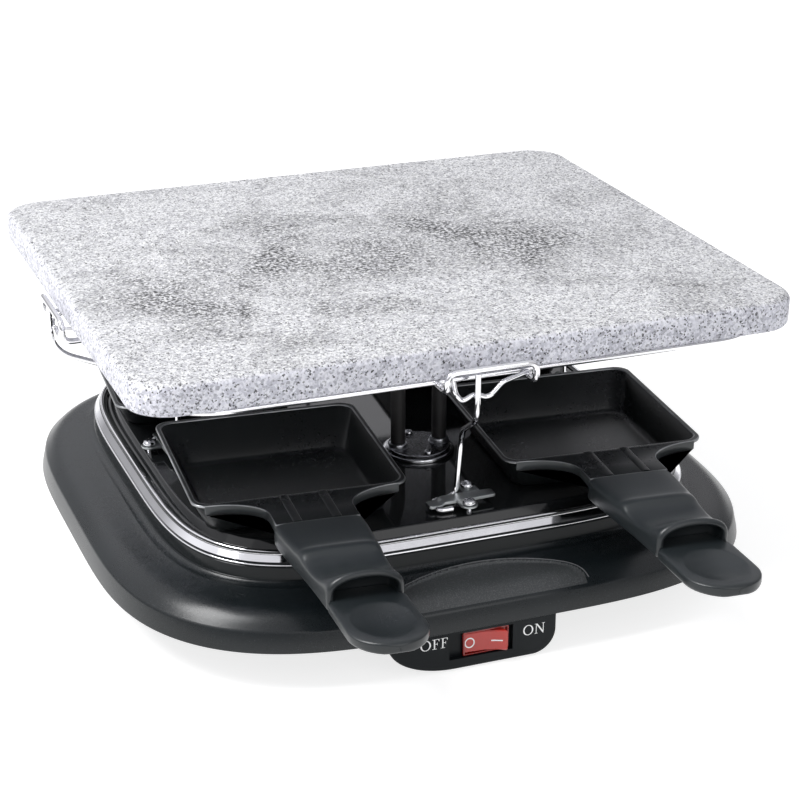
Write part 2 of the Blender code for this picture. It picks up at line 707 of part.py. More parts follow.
def make_cover():
    """The bottom cover: a flange inside the skirt and a tub that carries the feet."""
    reach = SKIRT_OUT - BODY_WALL - COVER_GAP
    tub_foot = COVER_TUB_OUT - COVER_TUB_SLOPE
    inside = [(tub_foot, COVER_FLOOR_Z + COVER_SHEET), (COVER_TUB_OUT, COVER_UNDER_Z + COVER_SHEET),
              (reach, COVER_UNDER_Z + COVER_SHEET)]
    under = [(reach, COVER_UNDER_Z), (COVER_TUB_OUT + COVER_SHEET, COVER_UNDER_Z),
             (tub_foot + COVER_SHEET, COVER_FLOOR_Z)]
    cover = place(bpy.data.objects.new("base_cover", loft("base_cover", rim_sections(inside + under))),
                  PLASTIC)
    notch = box_mesh("pod_notch", (2 * (POD_HALF_WIDTH + COVER_GAP), 2 * (POD_DEPTH + COVER_GAP),
                                   POD_TOP_Z * 2), (POD_X, -skirt_front(), POD_TOP_Z))
    combine(cover, cutter("pod_notch", notch), "DIFFERENCE")
    gland_room = BODY_WALL + GLAND_PLAY + GLAND_FLANGE + SKIRT_DRAFT + COVER_GAP
    notch = box_mesh("gland_notch", (2 * (GLAND_COLLAR + COVER_GAP), 2 * gland_room, POD_TOP_Z * 2),
                     (GLAND_X, wall_reach(GLAND_X), POD_TOP_Z))
    combine(cover, cutter("gland_notch", notch), "DIFFERENCE")
    for corner, (sign_x, sign_y) in CORNERS.items():
        hole = rod_mesh(f"cover_hole_{corner}", SCREW_SHANK_RADIUS + GAP, COVER_UNDER_Z - OVERRUN,
                        COVER_UNDER_Z + COVER_SHEET + OVERRUN, sides=HOLE_SIDES,
                        centre=(sign_x * BOSS_PLACE, sign_y * BOSS_PLACE))
        combine(cover, cutter(hole.name, hole), "DIFFERENCE")
        peg_hole = rod_mesh(f"foot_hole_{corner}", FOOT_PEG_RADIUS + GAP, COVER_FLOOR_Z - OVERRUN,
                            COVER_FLOOR_Z + COVER_SHEET + OVERRUN, sides=ROD_SIDES,
                            centre=(sign_x * FOOT_PLACE, sign_y * FOOT_PLACE))
        combine(cover, cutter(peg_hole.name, peg_hole), "DIFFERENCE")


def make_feet():
    """Rubber feet, each with a headed peg through the cover."""
    under = COVER_FLOOR_Z - GAP
    over = COVER_FLOOR_Z + COVER_SHEET + GAP
    profile = [(0.0, over + GAP + OVERRUN), (FOOT_PEG_RADIUS, over + OVERRUN), (FOOT_PEG_HEAD, over),
               (FOOT_PEG_RADIUS, over), (FOOT_PEG_RADIUS, under), (FOOT_RADIUS, under),
               (FOOT_RADIUS - FOOT_TAPER, 0.0), (0.0, 0.0)]
    mesh = turned_mesh("foot", profile, FOOT_SIDES)
    for corner, (sign_x, sign_y) in CORNERS.items():
        place(bpy.data.objects.new(f"foot_{corner}", mesh.copy()), RUBBER,
              (sign_x * FOOT_PLACE, sign_y * FOOT_PLACE, 0.0))


def screw_mesh(name, head_radius, head_height, shank_radius, shank):
    """A round-headed screw that points down from its seat at height zero."""
    profile = [(0.0, head_height), (head_radius * 2 / 3, head_height - head_height / 6),
               (head_radius, head_height / 3), (head_radius, 0.0), (shank_radius, 0.0),
               (shank_radius, -shank), (0.0, -shank)]
    return turned_mesh(name, profile, SCREW_SIDES)


def make_screws():
    """Clamp screws and flange screws from above, cover screws from below."""
    clamp_top = clamp_height() + CLAMP_SHEET + GAP
    clamp_screw = screw_mesh("clamp_screw", SCREW_HEAD_RADIUS, SCREW_HEAD_HEIGHT, SCREW_SHANK_RADIUS,
                             clamp_top - FLOOR_Z + CLAMP_SHANK)
    flange_screw = screw_mesh("flange_screw", FLANGE_SCREW_RADIUS, FLANGE_SCREW_HEAD,
                              SCREW_SHANK_RADIUS, FLANGE_SHEET + GAP + FLANGE_SCREW_SHANK)
    for name, x, y in screw_places():
        on_flange = name.startswith("flange")
        mesh = flange_screw if on_flange else clamp_screw
        title = name.replace("flange", "flange_screw") if on_flange else f"clamp_screw_{name}"
        seat = FLOOR_Z + FLANGE_SHEET + 2 * GAP if on_flange else clamp_top
        place(bpy.data.objects.new(title, mesh.copy()), STEEL, (x, y, seat))
    cover_screw = screw_mesh("cover_screw", SCREW_HEAD_RADIUS, SCREW_HEAD_HEIGHT, SCREW_SHANK_RADIUS,
                             COVER_SHEET + GAP + COVER_SCREW_REACH - OVERRUN)
    for corner, (sign_x, sign_y) in CORNERS.items():
        screw = place(bpy.data.objects.new(f"cover_screw_{corner}", cover_screw.copy()), STEEL,
                      (sign_x * BOSS_PLACE, sign_y * BOSS_PLACE, COVER_UNDER_Z - GAP))
        screw.rotation_euler = (math.pi, 0.0, 0.0)


def make_rack():
    """The ring of wire under the slab, and the loop, leg and brace in the middle of each side."""
    ring_z = SLAB_BOTTOM - GAP - RING_WIRE
    outline = rounded_rectangle(SLAB_WIDTH / 2 - RING_INSET_X, SLAB_DEPTH / 2 - RING_INSET_Y,
                                RING_CORNER, ARC_STEPS)
    ring = wire_object("rack_ring", [(x, y, ring_z) for x, y in outline], RING_WIRE, cyclic=True)
    place(ring, CHROME)
    for side, turn in SIDE_TURNS.items():
        half = side_half(side)
        inset = RING_INSET_Y if side in ("front", "back") else RING_INSET_X
        place(wire_object(f"rack_loop_{side}", loop_path(half, half - inset), LOOP_WIRE), CHROME,
              turn=turn)
        place(wire_object(f"rack_leg_{side}", leg_path(half), LEG_WIRE), CHROME, turn=turn)
        place(wire_object(f"rack_brace_{side}", brace_path(half, half - inset), BRACE_WIRE), CHROME,
              turn=turn)


def bar_place(half):
    """Distance of a loop's bar from the middle of the rack."""
    return half + LOOP_STAND_OFF


def loop_path(half, ring_place):
    """The bar outside the slab, with both ends bent down and back under the ring."""
    bar_z = SLAB_BOTTOM + LOOP_RISE
    tail_z = SLAB_BOTTOM - 2 * GAP - 2 * RING_WIRE - LOOP_WIRE
    tail = ring_place - LOOP_TAIL
    points = [(-LOOP_HALF, -tail, tail_z), (-LOOP_HALF, -bar_place(half), tail_z),
              (-LOOP_HALF, -bar_place(half), bar_z), (LOOP_HALF, -bar_place(half), bar_z),
              (LOOP_HALF, -bar_place(half), tail_z), (LOOP_HALF, -tail, tail_z)]
    return bent_path(points, LOOP_BEND)


def leg_path(half):
    """The leg: down from the bar, inwards, down to the dish, and a hook under the clamp plate."""
    top = SLAB_BOTTOM + LOOP_RISE - LOOP_WIRE - GAP
    foot_z = FLOOR_Z + GAP + LEG_WIRE
    points = [(LEG_SHIFT, -bar_place(half), top), (LEG_SHIFT, -bar_place(half), LEG_KNEE_Z),
              (LEG_ANKLE_SHIFT, -HOOK_INNER, LEG_ANKLE_Z), (0.0, -HOOK_INNER, foot_z),
              (-LEG_FOOT_REACH, -HOOK_INNER, foot_z), (-LEG_FOOT_REACH, -HOOK_OUTER, foot_z),
              (-LEG_TOE, -HOOK_OUTER, foot_z)]
    return bent_path(points, LEG_BEND)


def brace_path(half, ring_place):
    """The wavy brace behind the leg, with its ends beside the ring."""
    wave = bar_place(half) - LEG_WIRE - BRACE_WIRE - GAP
    end = max(ring_place + RING_WIRE + BRACE_WIRE + GAP, wave - LOOP_TAIL)
    points = [(BRACE_LEFT, -end, BRACE_TOP_Z), (BRACE_LEFT, -wave, BRACE_TOP_Z - 2 * BRACE_BEND),
              (LEG_SHIFT - BRACE_VALLEY_OUT, -wave, BRACE_VALLEY_Z),
              (LEG_SHIFT, -wave, BRACE_PEAK_Z),
              (LEG_SHIFT + BRACE_VALLEY_OUT, -wave, BRACE_VALLEY_Z),
              (LEG_SHIFT + 2 * BRACE_VALLEY_OUT, -wave, BRACE_TOP_Z - BRACE_BEND),
              (BRACE_RIGHT, -end, BRACE_TOP_Z)]
    return bent_path(points, BRACE_BEND)


def clamp_height():
    """Height of the underside of the clamp plates, just over the wire feet."""
    return FLOOR_Z + 2 * LEG_WIRE + 2 * GAP


def clamp_screws():
    """The two screws of a clamp plate, from the plate's middle."""
    return (("outer", CLAMP_OUTER_X, -CLAMP_SCREW_REACH), ("inner", CLAMP_INNER_X, CLAMP_SCREW_REACH))


def make_clamps():
    """Plates with a bar that covers the wire hook and two ears that take the screws."""
    bar, half_bar = CLAMP_LENGTH / 2, CLAMP_WIDTH / 2
    ear, half_ear = CLAMP_EAR_LENGTH / 2, CLAMP_EAR_WIDTH / 2
    inner_near, inner_far = CLAMP_INNER_X - half_ear, CLAMP_INNER_X + half_ear
    outer_near, outer_far = CLAMP_OUTER_X - half_ear, CLAMP_OUTER_X + half_ear
    tip = CLAMP_TIP_WIDTH / 2
    outline = [(bar, -tip), (bar, tip), (inner_far, half_bar), (inner_far, ear), (inner_near, ear),
               (inner_near, half_bar), (-bar, tip), (-bar, -tip), (outer_near, -half_bar),
               (outer_near, -ear), (outer_far, -ear), (outer_far, -half_bar)]
    mesh = sheet_mesh("clamp_plate", outline, CLAMP_SHEET, 0.0)
    holes = []
    for end, across, reach in clamp_screws():
        rod = rod_mesh(f"clamp_hole_{end}", SCREW_SHANK_RADIUS + GAP, -OVERRUN, CLAMP_SHEET + OVERRUN,
                       centre=(across, reach), sides=HOLE_SIDES)
        holes.append(cutter(rod.name, rod))
    mesh = cut_mesh(mesh, holes)
    for side, turn in SIDE_TURNS.items():
        spot = Vector((0.0, -CLAMP_PLACE, clamp_height()))
        spot.rotate(Matrix.Rotation(turn, 3, "Z"))
        place(bpy.data.objects.new(f"clamp_plate_{side}", mesh.copy()), STEEL, spot, turn)


def make_element():
    """The heating element: two legs through the flange and a loop under the slab."""
    stub = FLOOR_Z - ELEMENT_STUB
    (_, left), (_, right) = tube_places()
    points = [(left, TUBE_Y, stub), (left, TUBE_Y, TUBE_Z), (left, -ELEMENT_HALF_DEPTH, TUBE_Z),
              (-ELEMENT_HALF_WIDTH, -ELEMENT_HALF_DEPTH, TUBE_Z),
              (-ELEMENT_HALF_WIDTH, ELEMENT_HALF_DEPTH, TUBE_Z),
              (ELEMENT_HALF_WIDTH, ELEMENT_HALF_DEPTH, TUBE_Z),
              (ELEMENT_HALF_WIDTH, -ELEMENT_HALF_DEPTH, TUBE_Z),
              (right, -ELEMENT_HALF_DEPTH, TUBE_Z), (right, TUBE_Y, TUBE_Z), (right, TUBE_Y, stub)]
    place(wire_object("heating_element", bent_path(points, ELEMENT_BEND), TUBE_RADIUS), BLACK_TUBE)
    flange = rod_mesh("element_flange", FLANGE_RADIUS, FLOOR_Z + GAP, FLOOR_Z + GAP + FLANGE_SHEET,
                      centre=(TUBE_X, TUBE_Y), sides=FLANGE_SIDES)
    item = place(bpy.data.objects.new("element_flange", flange), STEEL)
    for name, x in tube_places():
        hole = rod_mesh(f"flange_hole_{name}", TUBE_RADIUS + GAP, FLOOR_Z - OVERRUN,
                        FLOOR_Z + FLANGE_SHEET + OVERRUN, centre=(x, TUBE_Y), sides=ROD_SIDES)
        combine(item, cutter(hole.name, hole), "DIFFERENCE")
    for name, x, y in screw_places():
        if name.startswith("flange"):
            hole = rod_mesh(f"{name}_hole", SCREW_SHANK_RADIUS + GAP, FLOOR_Z - OVERRUN,
                            FLOOR_Z + FLANGE_SHEET + OVERRUN, centre=(x, y), sides=HOLE_SIDES)
            combine(item, cutter(hole.name, hole), "DIFFERENCE")


def make_electrics():
    """Terminal block, thermal cut-out and cord gland."""
    block_z = COVER_FLOOR_Z + COVER_SHEET + GAP + BLOCK_SIZE[2] / 2
    block = place(bpy.data.objects.new("terminal_block", box_mesh("terminal_block", BLOCK_SIZE)),
                  CERAMIC, (*BLOCK_PLACE, block_z))
    bevel = block.modifiers.new("soft_edge", "BEVEL")
    bevel.width = BLOCK_EDGE
    bevel.segments = 1
    top = FLOOR_Z - DISH_SHEET - GAP
    step = top - CUTOUT_CAP_HEIGHT
    profile = [(0.0, top), (CUTOUT_CAP_RADIUS, top), (CUTOUT_CAP_RADIUS, step),
               (CUTOUT_RADIUS, step), (CUTOUT_RADIUS, step - CUTOUT_HEIGHT),
               (0.0, step - CUTOUT_HEIGHT)]
    cutout = turned_mesh("thermal_cutout", profile, ROD_SIDES)
    place(bpy.data.objects.new("thermal_cutout", cutout), CERAMIC, (*CUTOUT_PLACE, 0.0))
    inner = -BODY_WALL - GLAND_PLAY
    outline = [(GLAND_BORE, GLAND_SLEEVE), (GLAND_TIP, GLAND_SLEEVE),
               (GLAND_COLLAR, GLAND_PLAY + GLAND_FLANGE), (GLAND_COLLAR, GLAND_PLAY),
               (GLAND_NECK, GLAND_PLAY), (GLAND_NECK, inner), (GLAND_COLLAR, inner),
               (GLAND_COLLAR, inner - GLAND_FLANGE), (GLAND_BORE, inner - GLAND_FLANGE),
               (GLAND_BORE, GLAND_SLEEVE)]
    gland = place(bpy.data.objects.new("cord_gland", turned_mesh("cord_gland", outline, ROD_SIDES)),
                  RUBBER, (GLAND_X, wall_reach(GLAND_X) - SKIRT_DRAFT / 2, GLAND_Z))
    gland.rotation_euler = (-math.pi / 2, 0.0, 0.0)


def rocker_outline(half):
    """The rocker seen from above, at rest on its left end; the pivot is the origin."""
    face = -ROCKER_PIVOT_DEPTH
    back = face + ROCKER_THICKNESS
    foot = half * ROCKER_FOOT_SHARE
    points = [(-half, face), (0.0, face + ROCKER_DIP), (half, face), (foot, back), (-foot, back)]
    tilt = Matrix.Rotation(-ROCKER_THROW / 2, 2)
    return [tuple(tilt @ Vector(point)) for point in points]


def make_switch():
    """The switch frame, the rocker with its pins, and two terminals behind."""
    seat_y = -skirt_front() + RECESS_DEPTH
    centre = (SWITCH_X, seat_y, SWITCH_Z)
    plate = box_mesh("switch_frame", (FRAME_WIDTH, FRAME_PLATE, FRAME_HEIGHT),
                     (SWITCH_X, seat_y - GAP - FRAME_PLATE / 2, SWITCH_Z))
    frame = place(bpy.data.objects.new("switch_frame", plate), RED_PLASTIC)
    body_length = FRAME_DEPTH + FRAME_PLATE / 2
    body = box_mesh("frame_body", (FRAME_WIDTH - 2 * FRAME_WALL, body_length,
                                   FRAME_HEIGHT - 2 * FRAME_WALL),
                    (SWITCH_X, seat_y - FRAME_PLATE / 2 + body_length / 2, SWITCH_Z))
    combine(frame, cutter("frame_body", body), "UNION")
    well_width = FRAME_WIDTH - 3 * FRAME_WALL
    well_height = FRAME_HEIGHT - 3 * FRAME_WALL
    well_depth = FRAME_DEPTH - 2 * FRAME_WALL
    well = box_mesh("frame_well", (well_width, 2 * well_depth, well_height), centre)
    combine(frame, cutter("frame_well", well), "DIFFERENCE")
    pivot = (SWITCH_X, seat_y + ROCKER_PIVOT_DEPTH - ROCKER_PROUD, SWITCH_Z)
    pin_reach = well_height / 2 + ROCKER_PIN_OUT
    hole = rod_mesh("frame_pin_hole", ROCKER_PIN_RADIUS + GAP, -pin_reach - GAP, pin_reach + GAP)
    combine(frame, cutter("frame_pin_hole", hole, pivot), "DIFFERENCE")
    height = well_height - 2 * ROCKER_SIDE_GAP
    blank = sheet_mesh("switch_rocker", rocker_outline(well_width / 2 - ROCKER_END_GAP), height,
                       -height / 2)
    pin = rod_mesh("rocker_pin", ROCKER_PIN_RADIUS, -pin_reach, pin_reach)
    rocker_mesh = cut_mesh(blank, [cutter("rocker_pin", pin)], "UNION")
    place(bpy.data.objects.new("switch_rocker", rocker_mesh), RED_PLASTIC, pivot)
    back_y = seat_y + FRAME_DEPTH + GAP + TERMINAL_SIZE[1] / 2
    for name, sign in (("left", -1), ("right", 1)):
        blade = box_mesh(f"switch_terminal_{name}", TERMINAL_SIZE)
        place(bpy.data.objects.new(blade.name, blade), BRASS,
              (SWITCH_X + sign * TERMINAL_SPACING / 2, back_y, SWITCH_Z))


def pan_sections():
    """The pan as one skin: under the floor, up the outside, over the rim and down the inside."""
    half_x, half_y = PAN_WIDTH / 2, PAN_LENGTH / 2
    depth = PAN_RIM_Z - FLOOR_Z - GAP
    rows = [(1.0, PAN_RIM_LIP + PAN_FLOOR_ROUND, -depth),
            (1.0, PAN_RIM_LIP, -depth + PAN_FLOOR_ROUND),
            (0.0, PAN_RIM_LIP, -PAN_RIM_HEIGHT), (0.0, 0.0, -PAN_RIM_HEIGHT),
            (0.0, 0.0, -PAN_RIM_LIP / 3), (0.0, PAN_RIM_LIP / 3, 0.0),
            (0.0, PAN_RIM_LIP + PAN_SHEET, 0.0),
            (1.0, PAN_RIM_LIP + PAN_SHEET, -depth + PAN_FLOOR_ROUND),
            (1.0, PAN_RIM_LIP + PAN_FLOOR_ROUND, -depth + PAN_SHEET)]
    sections = []
    for down, inset, height in rows:
        front, rear = inset + down * PAN_WALL_SLOPE, inset + down * PAN_REAR_SLOPE
        ring = rounded_rectangle(half_x - front, half_y - (front + rear) / 2, PAN_CORNER,
                                 SMALL_ARC_STEPS)
        sections.append([(x, y + half_y + (front - rear) / 2, height) for x, y in ring])
    return sections


def tab_outline(inset, root_y, end_y):
    """The tab from above: wide at the pan, drawn in by two hollow curves."""
    root, end = TAB_HALF_ROOT - inset, TAB_HALF_END - inset
    right = [(root, root_y)]
    for i in range(ARC_STEPS + 1):
        angle = math.pi / 2 * i / ARC_STEPS
        right.append((root - (root - end) * math.sin(angle), -TAB_CURVE * (1 - math.cos(angle))))
    right.append((end, end_y))
    return right + [(-x, y) for x, y in reversed(right)]


def pan_mesh():
    """The pan with its tab, its two ribs and the tongue inside the handle."""
    lap = PAN_RIM_LIP + TAB_LAP
    tab = sheet_mesh("tab", tab_outline(0.0, lap, -TAB_LENGTH), TAB_TURN_DOWN, -TAB_TURN_DOWN)
    hollow = sheet_mesh("tab_hollow", tab_outline(TAB_SHEET, lap + OVERRUN, -TAB_LENGTH + TAB_SHEET),
                        TAB_TURN_DOWN, -TAB_TURN_DOWN - TAB_SHEET)
    room = box_mesh("pan_room",
                    (2 * TAB_HALF_ROOT + 2 * OVERRUN, 2 * PAN_WALL_SLOPE, TAB_TURN_DOWN * 2),
                    (0.0, PAN_WALL_SLOPE + PAN_RIM_LIP, -TAB_TURN_DOWN - PAN_RIM_HEIGHT))
    tab = cut_mesh(tab, [cutter("tab_hollow", hollow), cutter("pan_room", room)])
    tongue_y = -TAB_LENGTH - TAB_TONGUE / 2 + TAB_SHEET
    tongue = box_mesh("tab_tongue", (2 * TAB_TONGUE_HALF, TAB_TONGUE + 2 * TAB_SHEET, TAB_SHEET),
                      (0.0, tongue_y, -TAB_TURN_DOWN / 2 - TAB_SHEET))
    tongue_cutter = cutter("tab_tongue", tongue)
    ribs = []
    for name, sign in (("left", -1), ("right", 1)):
        rib = rod_mesh(f"rib_{name}", RIB_RADIUS, 0.0, TAB_LENGTH - TAB_SHEET, sides=HOLE_SIDES)
        ribs.append(cutter(f"rib_{name}", rib, (sign * RIB_X, -TAB_SHEET / 2, 0.0),
                           (math.pi / 2, 0.0, 0.0)))
    body = loft("pan", pan_sections())
    return cut_mesh(body, [cutter("tab", tab), tongue_cutter] + ribs, "UNION")


def handle_station(y, half, side, top, under, power):
    """One section across the handle: a flat underside and a top that is flat or arched."""
    lean = HANDLE_LEAN * max(0.0, -y - HANDLE_START)
    flat = half * HANDLE_FLAT_SHARE
    flank = -under + (under - side) / 3
    points = [(lean - flat, y, -under), (lean + flat, y, -under), (lean + half, y, flank)]
    for i in range(HANDLE_SECTION_STEPS + 1):
        angle = math.pi * i / HANDLE_SECTION_STEPS
        cosine, sine = math.cos(angle), math.sin(angle)
        x = math.copysign(abs(cosine) ** (2 / power), cosine)
        rise = abs(sine) ** (2 / power)
        points.append((lean + half * x, y, -side + (side - top) * rise))
    points.append((lean - half, y, flank))
    return points


def handle_mesh():
    """The handle: a block at the root, a ridge, a dip for the finger, an arched crest, a thumb rest."""
    stations = []

    def add(place_y, half, side, top, under, power):
        stations.append(handle_station(-place_y, half, side, top, under, power))

    add(HANDLE_START, HANDLE_HALF_ROOT * HANDLE_START_SHARE, HANDLE_SIDE_DROP,
        HANDLE_TOP_DROP + HANDLE_EDGE / 2, HANDLE_UNDER_ROOT, HANDLE_FLAT_POWER)
    add(HANDLE_START + HANDLE_EDGE, HANDLE_HALF_ROOT, HANDLE_SIDE_DROP, HANDLE_TOP_DROP,
        HANDLE_UNDER_ROOT, HANDLE_FLAT_POWER)
    span = HANDLE_RIDGE - HANDLE_START
    taper = (HANDLE_HALF_ROOT - HANDLE_HALF_RIDGE) * HANDLE_ROOT_SHARE
    add(HANDLE_RIDGE - span * HANDLE_ROOT_SHARE, HANDLE_HALF_RIDGE + taper, HANDLE_SIDE_DROP,
        HANDLE_TOP_DROP, HANDLE_UNDER_ROOT, HANDLE_FLAT_POWER)
    add(HANDLE_RIDGE, HANDLE_HALF_RIDGE, HANDLE_SIDE_DROP, HANDLE_RIDGE_DROP, HANDLE_UNDER_ROOT,
        HANDLE_FLAT_POWER)
    fall = HANDLE_CREST - HANDLE_RIDGE
    deepen = HANDLE_UNDER_TONGUE - HANDLE_UNDER_ROOT
    for share in HANDLE_DIP_SHARES:
        half = HANDLE_HALF_RIDGE + (HANDLE_HALF_CREST - HANDLE_HALF_RIDGE) * share
        side = HANDLE_SIDE_DROP + (HANDLE_CREST_SIDE - HANDLE_SIDE_DROP) * share
        sag = (HANDLE_DIP_DROP - HANDLE_CREST_DROP) * math.cos(math.pi / 2 * share ** 2)
        power = HANDLE_FLAT_POWER + (HANDLE_ARCH_POWER - HANDLE_FLAT_POWER) * share
        add(HANDLE_RIDGE + fall * share, half, side, HANDLE_CREST_DROP + sag,
            HANDLE_UNDER_ROOT + deepen * share, power)
    tongue_side = HANDLE_TONGUE_DROP + (HANDLE_UNDER_TONGUE - HANDLE_TONGUE_DROP) / 3
    start = HANDLE_CREST + HANDLE_STEP
    add(start, HANDLE_HALF_TONGUE, tongue_side, HANDLE_TONGUE_DROP, HANDLE_UNDER_TONGUE,
        HANDLE_FLAT_POWER)
    round_start = HANDLE_END - HANDLE_HALF_TONGUE
    add(round_start, HANDLE_HALF_TONGUE, tongue_side, HANDLE_TONGUE_DROP, HANDLE_UNDER_TONGUE,
        HANDLE_FLAT_POWER)
    for share in HANDLE_END_SHARES:
        half = HANDLE_HALF_TONGUE * math.sqrt(1 - share ** 2)
        add(round_start + HANDLE_HALF_TONGUE * share, half, tongue_side, HANDLE_TONGUE_DROP,
            HANDLE_UNDER_TONGUE, HANDLE_FLAT_POWER)
    slot = box_mesh("handle_slot", (2 * (TAB_TONGUE_HALF + GAP), 2 * (TAB_TONGUE + GAP + TAB_SHEET),
                                    TAB_SHEET + 2 * GAP),
                    (0.0, -TAB_LENGTH, -TAB_TURN_DOWN / 2 - TAB_SHEET))
    seat = sheet_mesh("handle_seat", tab_outline(-GAP, OVERRUN, -TAB_LENGTH - GAP),
                      TAB_TURN_DOWN + 2 * GAP + OVERRUN, -TAB_TURN_DOWN - GAP)
    cutters = [cutter("handle_slot", slot), cutter("handle_seat", seat)]
    return cut_mesh(loft("handle", stations), cutters)


def pan_place(sign_x, sign_y):
    """Place and turn of a pan: the rear pair is the front pair turned half round."""
    left = sign_x * sign_y > 0
    x = (-PAN_SPREAD if left else PAN_SPREAD) + PAN_SHIFT
    y = -PAN_FRONT + (PAN_STAGGER if left else -PAN_STAGGER)
    flip = -sign_y
    return Vector((x * flip, y * flip, PAN_RIM_Z)), PAN_TURN + (0.0 if sign_y < 0 else math.pi)


def make_pans():
    """Four pans and their handles, sharing two shapes."""
    pan = pan_mesh()
    handle = handle_mesh()
    for corner, (sign_x, sign_y) in CORNERS.items():
        spot, turn = pan_place(sign_x, sign_y)
        place(bpy.data.objects.new(f"pan_{corner}", pan.copy()), NON_STICK, spot, turn)
        place(bpy.data.objects.new(f"pan_handle_{corner}", handle.copy()), BAKELITE, spot, turn)


make_slab()
make_dish()
make_trim_ring()
make_body()
make_cover()
make_feet()
make_screws()
make_rack()
make_clamps()
make_element()
make_electrics()
make_switch()
make_pans()
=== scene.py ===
"""Looks of the raclette grill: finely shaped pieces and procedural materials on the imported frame."""
import json
from math import copysign, cos, hypot, pi, radians, sin, sqrt, tan

import bmesh
import bpy
from mathutils import Matrix, Vector, noise


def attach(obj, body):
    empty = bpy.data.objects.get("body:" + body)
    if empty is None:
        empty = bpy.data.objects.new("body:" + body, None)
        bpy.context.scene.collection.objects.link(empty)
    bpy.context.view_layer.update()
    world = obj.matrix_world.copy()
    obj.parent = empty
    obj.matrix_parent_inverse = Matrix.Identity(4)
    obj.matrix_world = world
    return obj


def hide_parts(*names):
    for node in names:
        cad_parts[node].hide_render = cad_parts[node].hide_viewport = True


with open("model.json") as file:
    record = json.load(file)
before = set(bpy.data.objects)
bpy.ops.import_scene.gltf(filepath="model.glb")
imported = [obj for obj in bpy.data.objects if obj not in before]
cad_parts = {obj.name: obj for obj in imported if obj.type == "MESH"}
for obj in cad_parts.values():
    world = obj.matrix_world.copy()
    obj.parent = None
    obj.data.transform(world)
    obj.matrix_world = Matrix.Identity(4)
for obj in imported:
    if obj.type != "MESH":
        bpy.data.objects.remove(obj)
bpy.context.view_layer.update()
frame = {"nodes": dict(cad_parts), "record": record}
SCENE = bpy.context.scene
BODY_OF = {node: body for body, nodes in frame["record"]["behaviour"]["bodies"].items() for node in nodes}
SLOT_OF = {item["node"]: item["material_slot"] for item in frame["record"]["subparts"]}

# Sizes shared with the solids
GAP = 0.0003
MERGE = 0.000005
HEIGHT, SLAB_WIDTH, SLAB_DEPTH, SLAB_THICKNESS, SLAB_CORNER = 0.14, 0.3, 0.265, 0.014, 0.018
SLAB_BOTTOM = HEIGHT - SLAB_THICKNESS
RIM_HALF, RIM_POWER, RIM_STEPS = 0.1215, 4.4, 240
FLOOR_Z, RIM_TOP_Z = 0.0535, 0.0515
COLLAR_OUT, COLLAR_DRAFT, COLLAR_HEIGHT = 0.0034, 0.0005, 0.0064
FILLET_WIDTH, FILLET_DROP = 0.004, 0.0014
SKIRT_OUT, SKIRT_EDGE_Z, SKIRT_ROUND, SKIRT_DRAFT, SKIRT_BOTTOM_Z = 0.029, 0.0285, 0.0012, 0.0022, 0.0185
COLLAR_TOP_Z = 0.0452
COLLAR_FOOT_Z = COLLAR_TOP_Z - COLLAR_HEIGHT
SKIRT_FRONT = RIM_HALF + SKIRT_OUT + SKIRT_DRAFT
POD_X, POD_HALF_WIDTH, POD_BOTTOM_Z, POD_TOP_Z = -0.013, 0.0385, 0.0006, 0.0198
POD_DEPTH, POD_OVERHANG, POD_CORNERS = 0.023, 0.0004, ((0.011, 0.011), (0.03, 0.0155))
POD_FACE_Y = -(SKIRT_FRONT - POD_OVERHANG)
SWITCH_X, SWITCH_Z, ROCKER_THROW = -0.007, 0.0113, radians(18.0)
RECESS_WIDTH, RECESS_HEIGHT, RECESS_SHIFT, RECESS_DEPTH = 0.0294, 0.012, -0.0026, 0.0035
SEAT_Y = -SKIRT_FRONT + RECESS_DEPTH
PIVOT = Vector((SWITCH_X, SEAT_Y + 0.0022, SWITCH_Z))
FRAME_WIDTH, FRAME_HEIGHT, FRAME_WALL, FRAME_PLATE, FRAME_DEPTH = 0.0212, 0.0114, 0.0012, 0.0018, 0.0125
RING_WIRE, RING_INSET_X, RING_INSET_Y, RING_CORNER = 0.0015, 0.012, 0.004, 0.028
LOOP_WIRE, LOOP_STAND_OFF, LOOP_HALF, LOOP_RISE, LOOP_BEND, LOOP_TAIL = 0.0014, 0.004, 0.02, 0.004, 0.005, 0.016
LEG_WIRE, LEG_BEND, LEG_SHIFT, LEG_ANKLE_SHIFT = 0.0013, 0.015, -0.0065, 0.0025
LEG_KNEE_Z, LEG_ANKLE_Z, LEG_FOOT_REACH, LEG_TOE = SLAB_BOTTOM - 0.0185, SLAB_BOTTOM - 0.039, 0.0125, 0.006
BRACE_WIRE, BRACE_LEFT, BRACE_RIGHT, BRACE_VALLEY_OUT = 0.0011, -0.0155, 0.0185, 0.0062
BRACE_BEND, BRACE_ROUND = 0.0022, 0.005
BRACE_TOP_Z, BRACE_VALLEY_Z, BRACE_PEAK_Z = SLAB_BOTTOM - 0.0018, SLAB_BOTTOM - 0.0102, SLAB_BOTTOM - 0.0075
CLAMP_PLACE, CLAMP_SHEET, CLAMP_WIDTH, CLAMP_LENGTH = RIM_HALF - 0.017, 0.0012, 0.0076, 0.031
CLAMP_SCREWS = (("outer", 0.0005, -0.0085), ("inner", 0.0065, 0.0085))
HOOK_INNER = CLAMP_PLACE - CLAMP_WIDTH / 2 - GAP - LEG_WIRE
HOOK_OUTER = CLAMP_PLACE + CLAMP_WIDTH / 2 + GAP + LEG_WIRE
CLAMP_Z = FLOOR_Z + 2 * LEG_WIRE + 2 * GAP
TUBE_RADIUS, TUBE_Z, TUBE_X, TUBE_Y, TUBE_HALF_SPACING = 0.0034, SLAB_BOTTOM - 0.011, 0.005, -0.0415, 0.0102
